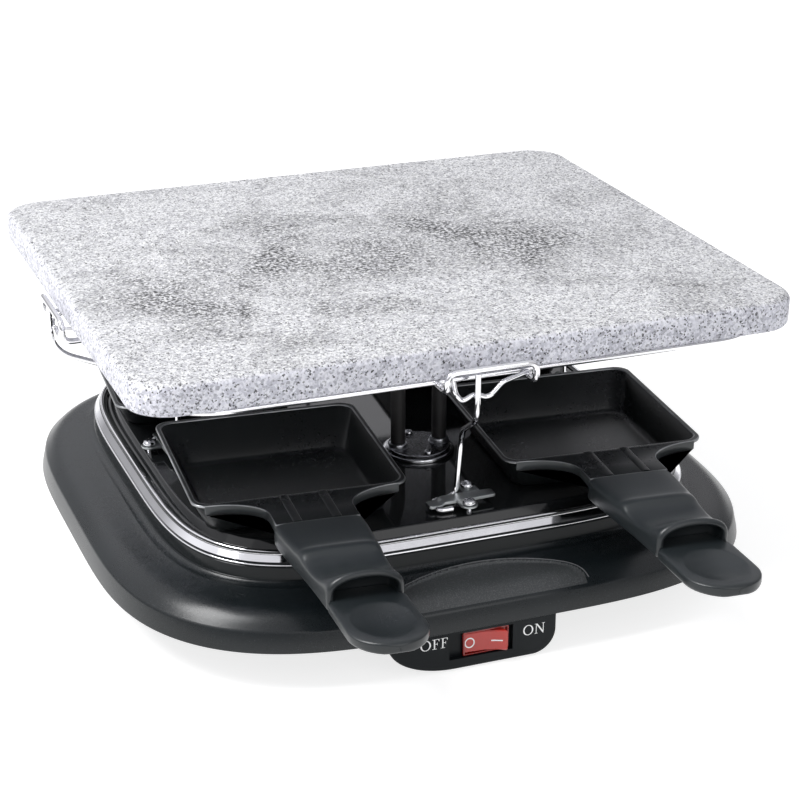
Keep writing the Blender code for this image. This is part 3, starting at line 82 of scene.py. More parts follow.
FLANGE_RADIUS, FLANGE_SHEET, FLANGE_SCREW_SEAT = 0.0166, 0.003, 0.0125
PAN_WIDTH, PAN_FRONT, PAN_LENGTH, PAN_RIM_Z = 0.0945, 0.1065, 0.0955, 0.0705
PAN_SHEET, PAN_LIP, PAN_RIM_HEIGHT, PAN_CORNER = 0.001, 0.0012, 0.0016, 0.007
PAN_WALL_SLOPE, PAN_REAR_SLOPE = 0.006, 0.0145
PAN_SPREAD, PAN_SHIFT, PAN_STAGGER, PAN_TURN = 0.0705, -0.002, 0.0025, radians(-4.6)
TAB_HALF_ROOT, TAB_HALF_END, TAB_CURVE, TAB_LENGTH = 0.0425, 0.0182, 0.015, 0.026
TAB_SHEET, TAB_TURN_DOWN, RIB_X = 0.0012, 0.0045, 0.0085
HANDLE_START, HANDLE_CREST, HANDLE_END, TONGUE_HALF, HANDLE_LEAN = 0.025, 0.0862, 0.1274, 0.016, 0.055
SIDE_TURNS = {"front": 0.0, "right": pi / 2, "back": pi, "left": -pi / 2}
CORNERS = {"front_left": (-1, -1), "front_right": (1, -1), "back_right": (1, 1), "back_left": (-1, 1)}

# Sizes of the finer shapes
SLOPE_BULGE = 0.0021
SCOOP_X, SCOOP_HALF, SCOOP_DEEP, SCOOP_EDGE, SCOOP_SUNK = -0.004, 0.047, 0.0205, SKIRT_OUT - SKIRT_ROUND, 0.001
SCOOP_COLUMNS, SCOOP_EDGE_SHARE, SCOOP_BAND, SCOOP_FRONT = 150, 0.07, 0.985, 0.064
WORD_HEIGHT, LETTER_GAP = 0.0048, 0.13
ROCKER_FACE = -0.0052
SIGN_X, SIGN_OUTER, SIGN_INNER, SIGN_SIDES = -0.0068, 0.0023, 0.00175, 40
DASH_START, DASH_LENGTH, DASH_HALF, DASH_PARTS = 0.0028, 0.0048, 0.0003, 6
ELEMENT_WIDE, ELEMENT_DEEP, ELEMENT_BEND = 0.095, 0.08, 0.015
SCREW_SHANK, COVER_SCREW_Z = 0.0014, 0.0195
FOOT_PLACE, BOSS_PLACE = RIM_HALF - 0.0365, RIM_HALF * 2 ** (-1 / RIM_POWER) + 0.013 / sqrt(2)
OPEN = (False, False)

# The photograph's point of view, fitted in its pixels
PHOTO_SIZE, FOCAL_PIXELS, CENTRE_ACROSS, CENTRE_DOWN = 800.0, 2055.8, 395.885, 466.554
SENSOR = 36.0


# Materials
def graph(name, roughness, metallic=0.0, specular=0.5, coat=(0.0, 0.03)):
    """A Principled material with plain sockets; returns it with its tree and shader."""
    material = bpy.data.materials.new(name)
    material.use_nodes = True
    shader = material.node_tree.nodes["Principled BSDF"]
    for key, value in (("Roughness", roughness), ("Metallic", metallic), ("Specular IOR Level", specular),
                       ("Coat Weight", coat[0]), ("Coat Roughness", coat[1])):
        shader.inputs[key].default_value = value
    return material, material.node_tree, shader


def add(tree, kind, inputs=None, **settings):
    """A shader node with its settings and its inputs, each a number or another node's socket."""
    item = tree.nodes.new("ShaderNode" + kind)
    for key, value in settings.items():
        setattr(item, key, value)
    for key, value in (inputs or {}).items():
        if isinstance(value, bpy.types.NodeSocket):
            tree.links.new(value, item.inputs[key])
        else:
            item.inputs[key].default_value = value
    return item


def place_of(tree):
    """Place on the object, in metres."""
    return add(tree, "TexCoord").outputs["Object"]


def noise_of(tree, scale, detail=3.0, rough=0.5, vector=None, distortion=0.0):
    """Noise between 0 and 1."""
    return add(tree, "TexNoise", {"Vector": vector or place_of(tree), "Scale": scale, "Detail": detail,
                                  "Roughness": rough, "Distortion": distortion}).outputs["Fac"]


def ramp(tree, value, stops):
    """Colours or greys along a value."""
    item = add(tree, "ValToRGB", {"Fac": value})
    points = item.color_ramp.elements
    while len(points) < len(stops):
        points.new(0.5)
    for point, (place, colour) in zip(points, stops):
        point.position = place
        colour = (colour,) * 3 if isinstance(colour, float) else colour
        point.color = (*colour, 1.0)
    return item.outputs["Color"]


def mix(tree, share, first, second, blend="MIX"):
    """Two colours mixed by a share."""
    second = (*second, 1.0) if isinstance(second, tuple) else second
    return add(tree, "Mix", {0: share, 6: first, 7: second}, data_type="RGBA", blend_type=blend).outputs[2]


def times(tree, first, second):
    """Two colours multiplied."""
    return mix(tree, 1.0, first, second, "MULTIPLY")


def maths(tree, operation, first, second, clamp=False):
    """Two values put together."""
    return add(tree, "Math", {0: first, 1: second}, operation=operation, use_clamp=clamp).outputs["Value"]


def vectors(tree, operation, first, second, output="Vector"):
    """Two vectors put together."""
    return add(tree, "VectorMath", {0: first, 1: second}, operation=operation).outputs[output]


def span(tree, value, low, high, start=0.0, end=1.0):
    """A value moved from one range to another."""
    return add(tree, "MapRange", {"Value": value, "From Min": start, "From Max": end,
                                  "To Min": low, "To Max": high}).outputs["Result"]


def bump(tree, height, strength, distance):
    """A normal from a height."""
    return add(tree, "Bump", {"Height": height, "Strength": strength, "Distance": distance}).outputs["Normal"]


def fill(tree, shader, colour, roughness, normal):
    """Link what a material has worked out to its shader."""
    for key, value in (("Base Color", colour), ("Roughness", roughness), ("Normal", normal)):
        tree.links.new(value, shader.inputs[key])


def shade(colour):
    """A colour from its parts in thousandths."""
    return tuple(part / 1000 for part in colour)


def granite():
    """Pale granite: fine grains in two sizes, dark flecks, and darker use marks on top; the sides are a little
    lighter and lavender, as painted cool reflected light.
    """
    material, tree, shader = graph("granite", 0.55, specular=0.35)
    at = place_of(tree)
    wobble = add(tree, "TexNoise", {"Vector": at, "Scale": 1300.0, "Detail": 2.0}).outputs["Color"]
    grains_at = vectors(tree, "ADD", at, vectors(tree, "MULTIPLY", wobble, (0.0009, 0.0009, 0.0009)))
    shares = []
    for scale, channel in ((820.0, "Red"), (1500.0, "Green")):
        cells = add(tree, "TexVoronoi", {"Vector": grains_at, "Scale": scale, "Randomness": 1.0})
        shares.append(add(tree, "SeparateColor", {"Color": cells.outputs["Color"]}).outputs[channel])
    pale = ramp(tree, shares[0], [(0.0, (0.43, 0.43, 0.455)), (0.2, (0.57, 0.57, 0.605)),
                                  (0.55, (0.75, 0.75, 0.775)), (1.0, (0.86, 0.86, 0.87))])
    flecks = ramp(tree, shares[1], [(0.0, 0.08), (0.06, 0.2), (0.11, 0.68), (0.3, 0.93), (1.0, 1.0)])
    cloud = ramp(tree, noise_of(tree, 55.0, 4.0, 0.6, at), [(0.3, 0.88), (0.62, 1.0)])
    colour = times(tree, times(tree, pale, flecks), cloud)
    facing = add(tree, "SeparateXYZ", {0: add(tree, "NewGeometry").outputs["Normal"]})
    top = span(tree, facing.outputs["Z"], 0.0, 1.0, 0.5, 0.9)
    used = noise_of(tree, 16.0, 6.0, 0.66, at, 0.5)
    for x, y, reach in ((-0.072, -0.022, 0.11), (0.075, -0.012, 0.08), (0.02, 0.05, 0.105)):
        away = vectors(tree, "DISTANCE", at, (x, y, HEIGHT), "Value")
        used = maths(tree, "ADD", used, span(tree, away, 0.17, 0.0, 0.0, reach))
    dirty = span(tree, used, 0.0, 1.0, 0.54, 0.74)
    speckle = ramp(tree, noise_of(tree, 620.0, 3.0, 0.6, at), [(0.38, 0.03), (0.47, 0.36), (0.56, 1.0)])
    pepper = ramp(tree, noise_of(tree, 1100.0, 2.0, 0.6, at), [(0.3, 0.3), (0.42, 0.82), (0.54, 1.0)])
    peppered = times(tree, colour, pepper)
    stained = mix(tree, dirty, peppered, times(tree, peppered, speckle))
    # Painted light: faces that do not point up are a little lighter and lavender, a painted cool reflected light.
    side_painted_light = times(tree, colour, (1.06, 1.06, 1.12))
    height = mix(tree, 0.5, flecks, noise_of(tree, 2600.0, 2.0, 0.6, at))
    fill(tree, shader, mix(tree, top, side_painted_light, stained), span(tree, shares[1], 0.42, 0.68),
         bump(tree, height, 0.3, 0.00015))
    return material


def metal(name, dark, light, rough, scale, relief):
    """Metal with fine changes in tone, gloss and surface; its colours are in thousandths."""
    material, tree, shader = graph(name, rough[0], 1.0)
    grain = noise_of(tree, scale, 5.0, 0.6)
    patches = noise_of(tree, 38.0, 3.0, 0.5)
    fill(tree, shader, ramp(tree, patches, [(0.3, shade(dark)), (0.7, shade(light))]), span(tree, grain, *rough),
         bump(tree, grain, relief, 0.0001))
    return material


def plastic(name, dark, light, rough, scale, relief, speck=None, specular=0.5, coat=(0.0, 0.03)):
    """Moulded or coated: a spark-eroded grain, patches of gloss, fine pale specks; colours in thousandths."""
    material, tree, shader = graph(name, rough[0], specular=specular, coat=coat)
    at = place_of(tree)
    fine = noise_of(tree, scale, 3.0, 0.65, at)
    patches = noise_of(tree, 26.0, 4.0, 0.55, at)
    colour = ramp(tree, patches, [(0.3, shade(dark)), (0.72, shade(light))])
    if speck:
        dots = ramp(tree, noise_of(tree, speck[0], 2.0, 0.7, at), [(speck[1], 0.0), (speck[1] + 0.06, 1.0)])
        colour = mix(tree, dots, colour, shade(speck[2]))
    fill(tree, shader, colour, span(tree, mix(tree, 0.5, fine, patches), *rough, 0.3, 0.7),
         bump(tree, fine, relief, 0.0001))
    return material


GRANITE = granite()
CHROME = metal("chrome", (780, 780, 800), (880, 880, 900), (0.05, 0.11), 420.0, 0.02)
STEEL = metal("zinc_steel", (340, 350, 370), (520, 530, 560), (0.22, 0.38), 900.0, 0.1)
BLADE = metal("brass", (620, 440, 200), (780, 600, 300), (0.22, 0.4), 700.0, 0.08)
ENAMEL = plastic("black_enamel", (8, 9, 10), (14, 15, 16), (0.05, 0.12), 210.0, 0.05,
                 (1500.0, 0.78, (35, 35, 38)), 0.25, (0.3, 0.04))
SKIRT = plastic("black_plastic", (4, 6, 7), (7, 10, 12), (0.25, 0.31), 2300.0, 0.16,
                (1700.0, 0.66, (40, 46, 50)), 0.42)
POD = plastic("pod_plastic", (5, 7, 8), (9, 11, 13), (0.3, 0.4), 2300.0, 0.12, (1700.0, 0.72, (26, 29, 31)), 0.16)
# Glossy black plastic of the collar; the ring's groove and step use it as a painted dark reflection.
GLOSSY_AND_PAINTED_REFLECTION = plastic("collar_plastic_and_painted_reflection", (6, 8, 9), (10, 12, 13), (0.12, 0.18), 900.0, 0.04, specular=0.2)
# Coarser grained plastic for the scoop; its lighter colour is a painted sheen.
GRAIN_AND_SHEEN = plastic("pod_scoop_plastic", (20, 23, 24), (32, 35, 37), (0.36, 0.46), 2300.0, 0.35,
                  (2100.0, 0.54, (70, 74, 77)), 0.6)
NON_STICK = plastic("non_stick", (6, 7, 8), (10, 12, 12), (0.24, 0.36), 700.0, 0.1,
                    (1900.0, 0.76, (30, 32, 33)), 0.35)
# A lighter grey for the tab's upright faces: painted light.
APRON_PAINTED_LIGHT = plastic("non_stick_painted_light", (30, 34, 36), (45, 50, 53), (0.3, 0.42), 900.0, 0.16)
HANDLE = plastic("handle_plastic", (10, 13, 15), (16, 20, 22), (0.26, 0.36), 1300.0, 0.18,
                 (1500.0, 0.72, (50, 56, 60)), 0.46)
RUBBER = plastic("rubber", (18, 18, 18), (32, 32, 32), (0.7, 0.9), 800.0, 0.5)
TUBE = plastic("oxidised_tube", (10, 10, 11), (22, 21, 21), (0.38, 0.6), 500.0, 0.35)
RED = plastic("red_plastic", (360, 11, 8), (560, 30, 18), (0.12, 0.22), 500.0, 0.04, coat=(0.6, 0.05))
CERAMIC = plastic("ceramic", (700, 680, 610), (800, 780, 720), (0.45, 0.6), 900.0, 0.2,
                  (500.0, 0.7, (550, 500, 420)))
RED_FRAME = plastic("red_frame", (200, 8, 6), (340, 16, 12), (0.14, 0.24), 500.0, 0.04, coat=(0.5, 0.06))
PLATE = metal("clamp_steel", (320, 340, 340), (480, 500, 500), (0.26, 0.4), 800.0, 0.12)
PLATE_DARK = metal("flange_steel", (50, 52, 55), (110, 110, 120), (0.2, 0.34), 700.0, 0.15)
BRIGHT = metal("screw_steel", (620, 630, 650), (800, 800, 820), (0.1, 0.2), 900.0, 0.04)
# A light metal for the pan's rim lines, the tab's top edge and the ribs' right flanks: painted highlights.
PAINTED_HIGHLIGHT_EDGE = metal("painted_highlight_edge", (160, 165, 170), (420, 430, 440), (0.24, 0.38), 600.0, 0.08)
# A lighter grey for the scoop's edge wire, a painted highlight.
PAINTED_HIGHLIGHT_LINE = plastic("painted_highlight_line", (60, 62, 65), (120, 124, 130), (0.22, 0.34), 900.0, 0.06)
PRINT = plastic("white_print", (900, 900, 900), (980, 980, 980), (0.4, 0.55), 1500.0, 0.2)
SLOT_LOOKS = {"granite": GRANITE, "enamel": ENAMEL, "chrome": CHROME, "steel": STEEL, "body_plastic": SKIRT,
              "rubber": RUBBER, "element_tube": TUBE, "ceramic": CERAMIC, "brass": BLADE, "switch_red": RED,
              "non_stick": NON_STICK, "handle_plastic": HANDLE}


# Mesh helpers
def off(across, up, *points):
    """Points off a corner, given in hundredths of a millimetre."""
    return [(across + right / 1e5, up + rise / 1e5) for right, rise in points]


def spots(*points):
    """Points given in hundredths of a millimetre."""
    return off(0.0, 0.0, *points)


def mesh_from(name, work, angle=38.0):
    """Store a bmesh as a mesh, shaded smooth but for its sharp edges."""
    bmesh.ops.recalc_face_normals(work, faces=work.faces)
    mesh = bpy.data.meshes.new(name)
    work.to_mesh(mesh)
    work.free()
    mesh.shade_smooth()
    mesh.set_sharp_from_angle(angle=radians(angle))
    return mesh


def loft(name, rows, angle=38.0, caps=(True, True), skip=(0, 0), closed=True, merge=False):
    """Skin rows of equal point count, rings or open ones; a run of columns may be left open."""
    work = bmesh.new()
    made = [[work.verts.new(point) for point in row] for row in rows]
    count = len(made[0])
    for lower, upper in zip(made, made[1:]):
        for i in range(count if closed else count - 1):
            j = (i + 1) % count
            if not skip[0] <= i < skip[1]:
                work.faces.new((lower[i], lower[j], upper[j], upper[i]))
    for wanted, row in zip(caps, (made[0], made[-1])):
        if wanted:
            work.faces.new(row)
    if merge:
        bmesh.ops.remove_doubles(work, verts=work.verts, dist=MERGE)
    return mesh_from(name, work, angle)


def grid_mesh(name, rows, angle):
    """An open sheet through rows of points of equal count."""
    return loft(name, rows, angle, OPEN, closed=False, merge=True)


def turned_mesh(name, profile, sides, angle=38.0):
    """A turned piece from a profile of (radius, height), listed from top to bottom."""
    rings = [[(radius * cos(2 * pi * i / sides), radius * sin(2 * pi * i / sides), height) for i in range(sides)]
             for radius, height in profile]
    return loft(name, rings, angle, OPEN, merge=True)


def plate_mesh(name, outline, thickness, height=0.0, edge=0.0):
    """A flat plate with a drawn outline and softened edges."""
    work = bmesh.new()
    face = work.faces.new([work.verts.new((x, y, height)) for x, y in outline])
    lifted = bmesh.ops.extrude_face_region(work, geom=[face])["geom"]
    lifted = [item for item in lifted if isinstance(item, bmesh.types.BMVert)]
    bmesh.ops.translate(work, vec=(0.0, 0.0, thickness), verts=lifted)
    if edge:
        rims = [e for e in work.edges if abs(e.verts[0].co.z - e.verts[1].co.z) < MERGE]
        bmesh.ops.bevel(work, geom=rims, offset=edge, segments=2, profile=0.5, affect="EDGES")
    return mesh_from(name, work)


def box_mesh(name, size, centre, edge=0.0):
    """A box with softened edges."""
    work = bmesh.new()
    bmesh.ops.create_cube(work, size=1.0)
    bmesh.ops.scale(work, vec=size, verts=work.verts)
    bmesh.ops.translate(work, vec=centre, verts=work.verts)
    if edge:
        bmesh.ops.bevel(work, geom=list(work.edges), offset=edge, segments=3, profile=0.5, affect="EDGES")
    return mesh_from(name, work)


def moved(mesh, matrix):
    """The mesh after a move."""
    mesh.transform(matrix)
    return mesh


def place_turned(mesh, spot=(0.0, 0.0, 0.0), turn=0.0):
    """A copy of a mesh, turned about +Z and moved."""
    return moved(mesh.copy(), Matrix.Translation(Vector(spot)) @ Matrix.Rotation(turn, 4, "Z"))


def joined(name, meshes):
    """One mesh from several, which keep their own materials."""
    work = bmesh.new()
    result = bpy.data.meshes.new(name)
    for mesh in meshes:
        offset = len(result.materials)
        before = len(work.faces)
        work.from_mesh(mesh)
        work.faces.ensure_lookup_table()
        for face in work.faces[before:]:
            face.material_index += offset
        for material in mesh.materials:
            result.materials.append(material)
    work.to_mesh(result)
    work.free()
    return result


def painted(mesh, *materials):
    """The mesh with these materials, all its faces in the first."""
    mesh.materials.clear()
    for material in materials:
        mesh.materials.append(material)
    return mesh


def linked(name, data):
    """A new object in the scene."""
    item = bpy.data.objects.new(name, data)
    SCENE.collection.objects.link(item)
    return item


def baked(item, angle=38.0):
    """The evaluated mesh of an object in world space, which is then removed."""
    bpy.context.view_layer.update()
    mesh = bpy.data.meshes.new_from_object(item.evaluated_get(bpy.context.evaluated_depsgraph_get()))
    mesh.transform(item.matrix_world)
    work = bmesh.new()
    work.from_mesh(mesh)
    bmesh.ops.remove_doubles(work, verts=work.verts, dist=MERGE)
    name = item.name
    bpy.data.objects.remove(item, do_unlink=True)
    return mesh_from(name, work, angle)


def carved(mesh, others, operation="DIFFERENCE", bevel=0.0):
    """The mesh after exact Booleans with other meshes, with its edges softened."""
    item = linked(mesh.name, mesh)
    tools = []
    for other in others:
        tools.append(linked(other.name, other))
        modifier = item.modifiers.new(other.name, "BOOLEAN")
        modifier.object = tools[-1]
        modifier.operation = operation
    if bevel:
        modifier = item.modifiers.new("soft_edges", "BEVEL")
        modifier.width = bevel
        modifier.segments = 2
        modifier.limit_method = "ANGLE"
        modifier.angle_limit = radians(40.0)
    result = baked(item)
    for tool in tools:
        bpy.data.objects.remove(tool, do_unlink=True)
    return result


def wire_mesh(name, points, radius, cyclic=False, resolution=5):
    """A round wire along a row of points."""
    curve = bpy.data.curves.new(name, "CURVE")
    curve.dimensions = "3D"
    curve.bevel_depth = radius
    curve.bevel_resolution = resolution
    curve.use_fill_caps = True
    spline = curve.splines.new("POLY")
    spline.points.add(len(points) - 1)
    for target, point in zip(spline.points, points):
        target.co = (*point, 1.0)
    spline.use_cyclic_u = cyclic
    return baked(linked(name, curve), 60.0)


def bent_path(points, radius, steps=9):
    """Round each inner corner of a row of points."""
    corners = [Vector(point) for point in points]
    path = [corners[0]]
    for before, corner, after in zip(corners, corners[1:], corners[2:]):
        arm_in, arm_out = before - corner, after - corner
        reach = min(radius / tan(arm_in.angle(arm_out) / 2), arm_in.length / 2, arm_out.length / 2)
        start, end = corner + arm_in.normalized() * reach, corner + arm_out.normalized() * reach
        for i in range(steps + 1):
            share = i / steps
            path.append(start.lerp(corner, share).lerp(corner.lerp(end, share), share))
    path.append(corners[-1])
    return path


def rounded_rectangle(half_x, half_y, radius, steps):
    """Points of a rectangle with round corners."""
    points = []
    for quarter, (sign_x, sign_y) in enumerate(((1, 1), (-1, 1), (-1, -1), (1, -1))):
        for i in range(steps + 1):
            angle = pi / 2 * (quarter + i / steps)
            points.append((sign_x * (half_x - radius) + radius * cos(angle),
                           sign_y * (half_y - radius) + radius * sin(angle)))
    return points


def arc(centre, radius, start, end, steps):
    """Points (across, up) of an arc, in degrees."""
    angles = [radians(start + (end - start) * i / steps) for i in range(steps + 1)]
    return [(centre[0] + radius * cos(angle), centre[1] + radius * sin(angle)) for angle in angles]


def fan(steps, count):
    """A row of angles from zero, in equal parts of half a turn."""
    return [pi * k / steps for k in range(count)]


def rim_outline(offset):
    """The rounded square of the base, moved out along its normals."""
    points = []
    for i in range(RIM_STEPS):
        angle = 2 * pi * (i + 0.5) / RIM_STEPS
        cosine, sine = cos(angle), sin(angle)
        x = copysign(abs(cosine) ** (2 / RIM_POWER), cosine)
        y = copysign(abs(sine) ** (2 / RIM_POWER), sine)
        normal = Vector((copysign(abs(x) ** (RIM_POWER - 1), x),
                         copysign(abs(y) ** (RIM_POWER - 1), y))).normalized()
        points.append((RIM_HALF * x + offset * normal.x, RIM_HALF * y + offset * normal.y))
    return points


def rim_sections(profile):
    """One section of the base outline for each (offset, height)."""
    return [[(x, y, height) for x, y in rim_outline(offset)] for offset, height in profile]


def rim_bow(across):
    """How far the outline falls back at a distance from the middle of a side."""
    return RIM_HALF * (1 - (1 - abs(across / RIM_HALF) ** RIM_POWER) ** (1 / RIM_POWER))


def show(node, mesh, *materials):
    """A piece that stands for a CAD node and rides on its body."""
    if materials:
        painted(mesh, *materials)
    item = linked(f"{node}_skin", mesh)
    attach(item, BODY_OF[node])
    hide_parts(node)


# Pieces
def make_slab():
    """The slab with soft, slightly uneven arrises."""
    rows = off(0.0, SLAB_BOTTOM, (160, 0), (60, 40), (10, 140), (0, 450), (0, 850))
    rows += [(0.003 - across, SLAB_BOTTOM + 0.011 + up)
             for across, up in arc((0.0, 0.0), 0.003, 8.0, 90.0, 9)]
    sections = []
    for inset, height in rows:
        height = min(height, HEIGHT)
        ring = rounded_rectangle(SLAB_WIDTH / 2 - inset, SLAB_DEPTH / 2 - inset, SLAB_CORNER, 20)
        row = []
        for i, (ax, ay) in enumerate(ring):
            bx, by = ring[(i + 1) % len(ring)]
            count = 60 if i % 21 == 20 else 1
            for k in range(count):
                x, y = ax + (bx - ax) * k / count, ay + (by - ay) * k / count
                uneven = 1.0 - 0.0022 * abs(noise.noise(Vector((x, y, height)) * 55.0)) * (0.4 + inset / 0.003)
                row.append((x * uneven, y * uneven, height))
        sections.append(row)
    show("stone_plate", loft("stone_plate_skin", sections, 60.0), GRANITE)


def make_dish():
    """The enamelled dish with round steps to its drip groove."""
    inner, floor, groove = -0.0043, FLOOR_Z, 0.0487
    profile = [*off(0.0, floor, (-3000, 0)), *off(inner, floor, (-320, 0), (-260, -10), (-190, -60)),
               *off(inner, groove, (-80, 80), (-20, 20), (50, 0)), *off(0.0, groove, (-320, 0), (-260, 60)),
               *spots((-200, 5030), (-160, 5050), (70, 5050), (70, 4950), (-200, 4950)),
               *off(0.0, groove, (-200, -100)), *off(inner, groove, (-100, -100)),
               *off(inner, floor, (-280, -100)), *off(0.0, floor, (-3000, -100))]
    show("dish", loft("dish_skin", rim_sections(profile)), ENAMEL)


def make_trim_ring():
    """The chromed ring: a rolled bead, a groove, a bright cone, a step and a rounded lip; the groove and the step
    are dark plastic, a painted dark reflection in the chrome.
    """
    foot = RIM_TOP_Z - 0.006
    bead = spots((-120, 5000)) + arc((-0.0002, RIM_TOP_Z - 0.001), 0.001, 180.0, 30.0, 10)
    groove = [bead[-1], *off(0.0, RIM_TOP_Z, (70, -140), (80, -170), (110, -180))]
    cone = [(0.0011 + 0.002 * share, RIM_TOP_Z - 0.0018 - 0.0024 * share)
            for share in (0.0, 0.2, 0.4, 0.6, 0.8, 1.0)]
    step = [cone[-1], *off(0.0, foot, (310, 160), (300, 90))]
    lip = [step[-1]] + arc((0.0033, foot + 0.00045), 0.00045, 110.0, -90.0, 8)
    lip += off(0.0, foot, (260, 0), (80, 300)) + spots((80, 5000), (-120, 5000))
    # The groove and the step take dark glossy plastic as a painted dark reflection of the collar.
    parts = [painted(loft(name, rim_sections(profile), 60.0, OPEN), material) for name, profile, material in
             (("bead", bead, CHROME), ("groove", groove, GLOSSY_AND_PAINTED_REFLECTION), ("cone", cone, CHROME),
              ("step", step, GLOSSY_AND_PAINTED_REFLECTION), ("lip", lip, CHROME))]
    show("trim_ring", joined("trim_ring_skin", parts))


def slope_height(offset):
    """Height of the skirt's slope at an offset from the rim outline."""
    start = COLLAR_OUT + COLLAR_DRAFT + FILLET_WIDTH
    share = (offset - start) / (SKIRT_OUT - SKIRT_ROUND - start)
    top, end = COLLAR_FOOT_Z - FILLET_DROP, SKIRT_EDGE_Z + SKIRT_ROUND / 3
    return top + share * (end - top) + SLOPE_BULGE * sin(pi * max(0.0, share) ** 1.7)


def make_body():
    """The collar, the flared skirt with its scoop, the pod and the words beside the switch."""
    start = COLLAR_OUT + COLLAR_DRAFT
    collar = [*spots((-160, 4920), (60, 4920)), (0.0006, COLLAR_TOP_Z),
              *off(COLLAR_OUT, COLLAR_TOP_Z, (-50, 0), (0, -50)),
              (COLLAR_OUT + COLLAR_DRAFT * 0.9, COLLAR_FOOT_Z + 0.0006),
              *off(start, COLLAR_FOOT_Z, (20, 40), (30, 20), (10, 0))]
    skirt = [collar[-1]]
    for i in range(1, 9):
        share = i / 9
        skirt.append((start + FILLET_WIDTH * share, COLLAR_FOOT_Z - FILLET_DROP * (1 - (1 - share) ** 2.6)))
    width = SKIRT_OUT - SKIRT_ROUND - start - FILLET_WIDTH
    for i in range(45):
        offset = start + FILLET_WIDTH + width * i / 44
        skirt.append((offset, slope_height(offset)))
    skirt += [*off(SKIRT_OUT, SKIRT_EDGE_Z, (-60, -20), (-10, -70), (20, -140)),
              *off(SKIRT_OUT + SKIRT_DRAFT, SKIRT_BOTTOM_Z, (-30, 120), (-20, 30), (-60, 0)),
              *off(SKIRT_OUT, SKIRT_BOTTOM_Z, (-10, 0)), *off(SKIRT_OUT, SKIRT_EDGE_Z, (-220, -350)),
              *off(COLLAR_OUT, COLLAR_FOOT_Z, (0, -450)), *off(0.0, COLLAR_FOOT_Z, (-160, -100))]
    line = rim_outline(0.0)
    front = [i for i, (x, y) in enumerate(line) if y < 0 and abs(x) < SCOOP_FRONT]
    upper = painted(loft("collar", rim_sections(collar), caps=OPEN), GLOSSY_AND_PAINTED_REFLECTION)
    lower = painted(loft("skirt", rim_sections(skirt), 50.0, OPEN, (front[0], front[-1])), SKIRT)
    middle = scooped_front(skirt, line[front[0]][0], line[front[-1]][0])
    words = [word_mesh("OFF", -0.0315, 0.0146), word_mesh("ON", 0.0149, 0.0131)]
    show("body_shell", joined("body_shell_skin", [upper, lower, middle, scoop_line(), pod_mesh(), *words]))


def on_rim(across, offset):
    """A point over the front edge of the base, moved out along the outline's normal."""
    share = abs(across / RIM_HALF)
    y = -(1 - share ** RIM_POWER) ** (1 / RIM_POWER)
    normal = Vector((copysign(share ** (RIM_POWER - 1), across), -abs(y) ** (RIM_POWER - 1))).normalized()
    return across + offset * normal.x, RIM_HALF * y + offset * normal.y


def scooped_front(profile, first, last):
    """The front of the skirt in fine steps, with the half-round scoop sunk into it."""
    rows, shares = [], []
    for offset, height in profile:
        row = []
        for k in range(SCOOP_COLUMNS + 1):
            x, y = on_rim(first + (last - first) * k / SCOOP_COLUMNS, offset)
            share = hypot((x - SCOOP_X) / SCOOP_HALF, (SCOOP_EDGE - offset) / SCOOP_DEEP)
            sunk = 0.0
            if share < 1.0 and offset <= SCOOP_EDGE:
                step = min(1.0, (1.0 - share) / SCOOP_EDGE_SHARE)
                fall = max(0.0, (SCOOP_EDGE - offset) / SCOOP_DEEP)
                sunk = SCOOP_SUNK * step * step * (3 - 2 * step) * min(1.0, fall * 1.35)
            row.append((x, y, height - sunk))
            shares.append(share if offset <= SCOOP_EDGE else 2.0)
        rows.append(row)
    mesh = painted(grid_mesh("skirt_front", rows, 50.0), SKIRT, GRAIN_AND_SHEEN)
    # The scoop's faces take the coarser grained plastic, whose lighter colour is a painted sheen.
    for face in mesh.polygons:
        row, column = divmod(face.index, SCOOP_COLUMNS)
        corner = row * (SCOOP_COLUMNS + 1) + column
        above = corner + SCOOP_COLUMNS + 1
        if max(shares[corner], shares[corner + 1], shares[above], shares[above + 1]) < SCOOP_BAND:
            face.material_index = 1
    return mesh


def scoop_line():
    """The fine edge round the top of the scoop: a thin wire in lighter grey as a painted highlight."""
    points = []
    for i in range(97):
        angle = pi * (0.03 + 0.94 * i / 96)
        offset = SCOOP_EDGE - SCOOP_DEEP * sin(angle)
        across = SCOOP_X + SCOOP_HALF * cos(angle)
        points.append((across, on_rim(across, offset)[1], slope_height(offset) - 0.00012))
    return painted(wire_mesh("scoop_line", points, 0.0003, resolution=3), PAINTED_HIGHLIGHT_LINE)


def pod_outline(inset, steps=20):
    """The front view of the pod: flat on top, a tight lower right corner, a long lower left one."""
    points = [(POD_HALF_WIDTH - inset, POD_TOP_Z)]
    for quarter, (sign, (wide, high)) in enumerate(zip((1, -1), POD_CORNERS)):
        for i in range(steps + 1):
            angle = -pi / 2 * (quarter + i / steps)
            points.append((sign * (POD_HALF_WIDTH - wide) + (wide - inset) * cos(angle),
                           POD_BOTTOM_Z + high + (high - inset) * sin(angle)))
    points.append((inset - POD_HALF_WIDTH, POD_TOP_Z))
    return points


def switch_box(name, less, depth, y, edge=0.0):
    """A box at the switch, as wide and high as its frame less a width."""
    return box_mesh(name, (FRAME_WIDTH - less, depth, FRAME_HEIGHT - less), (SWITCH_X, y, SWITCH_Z), edge)


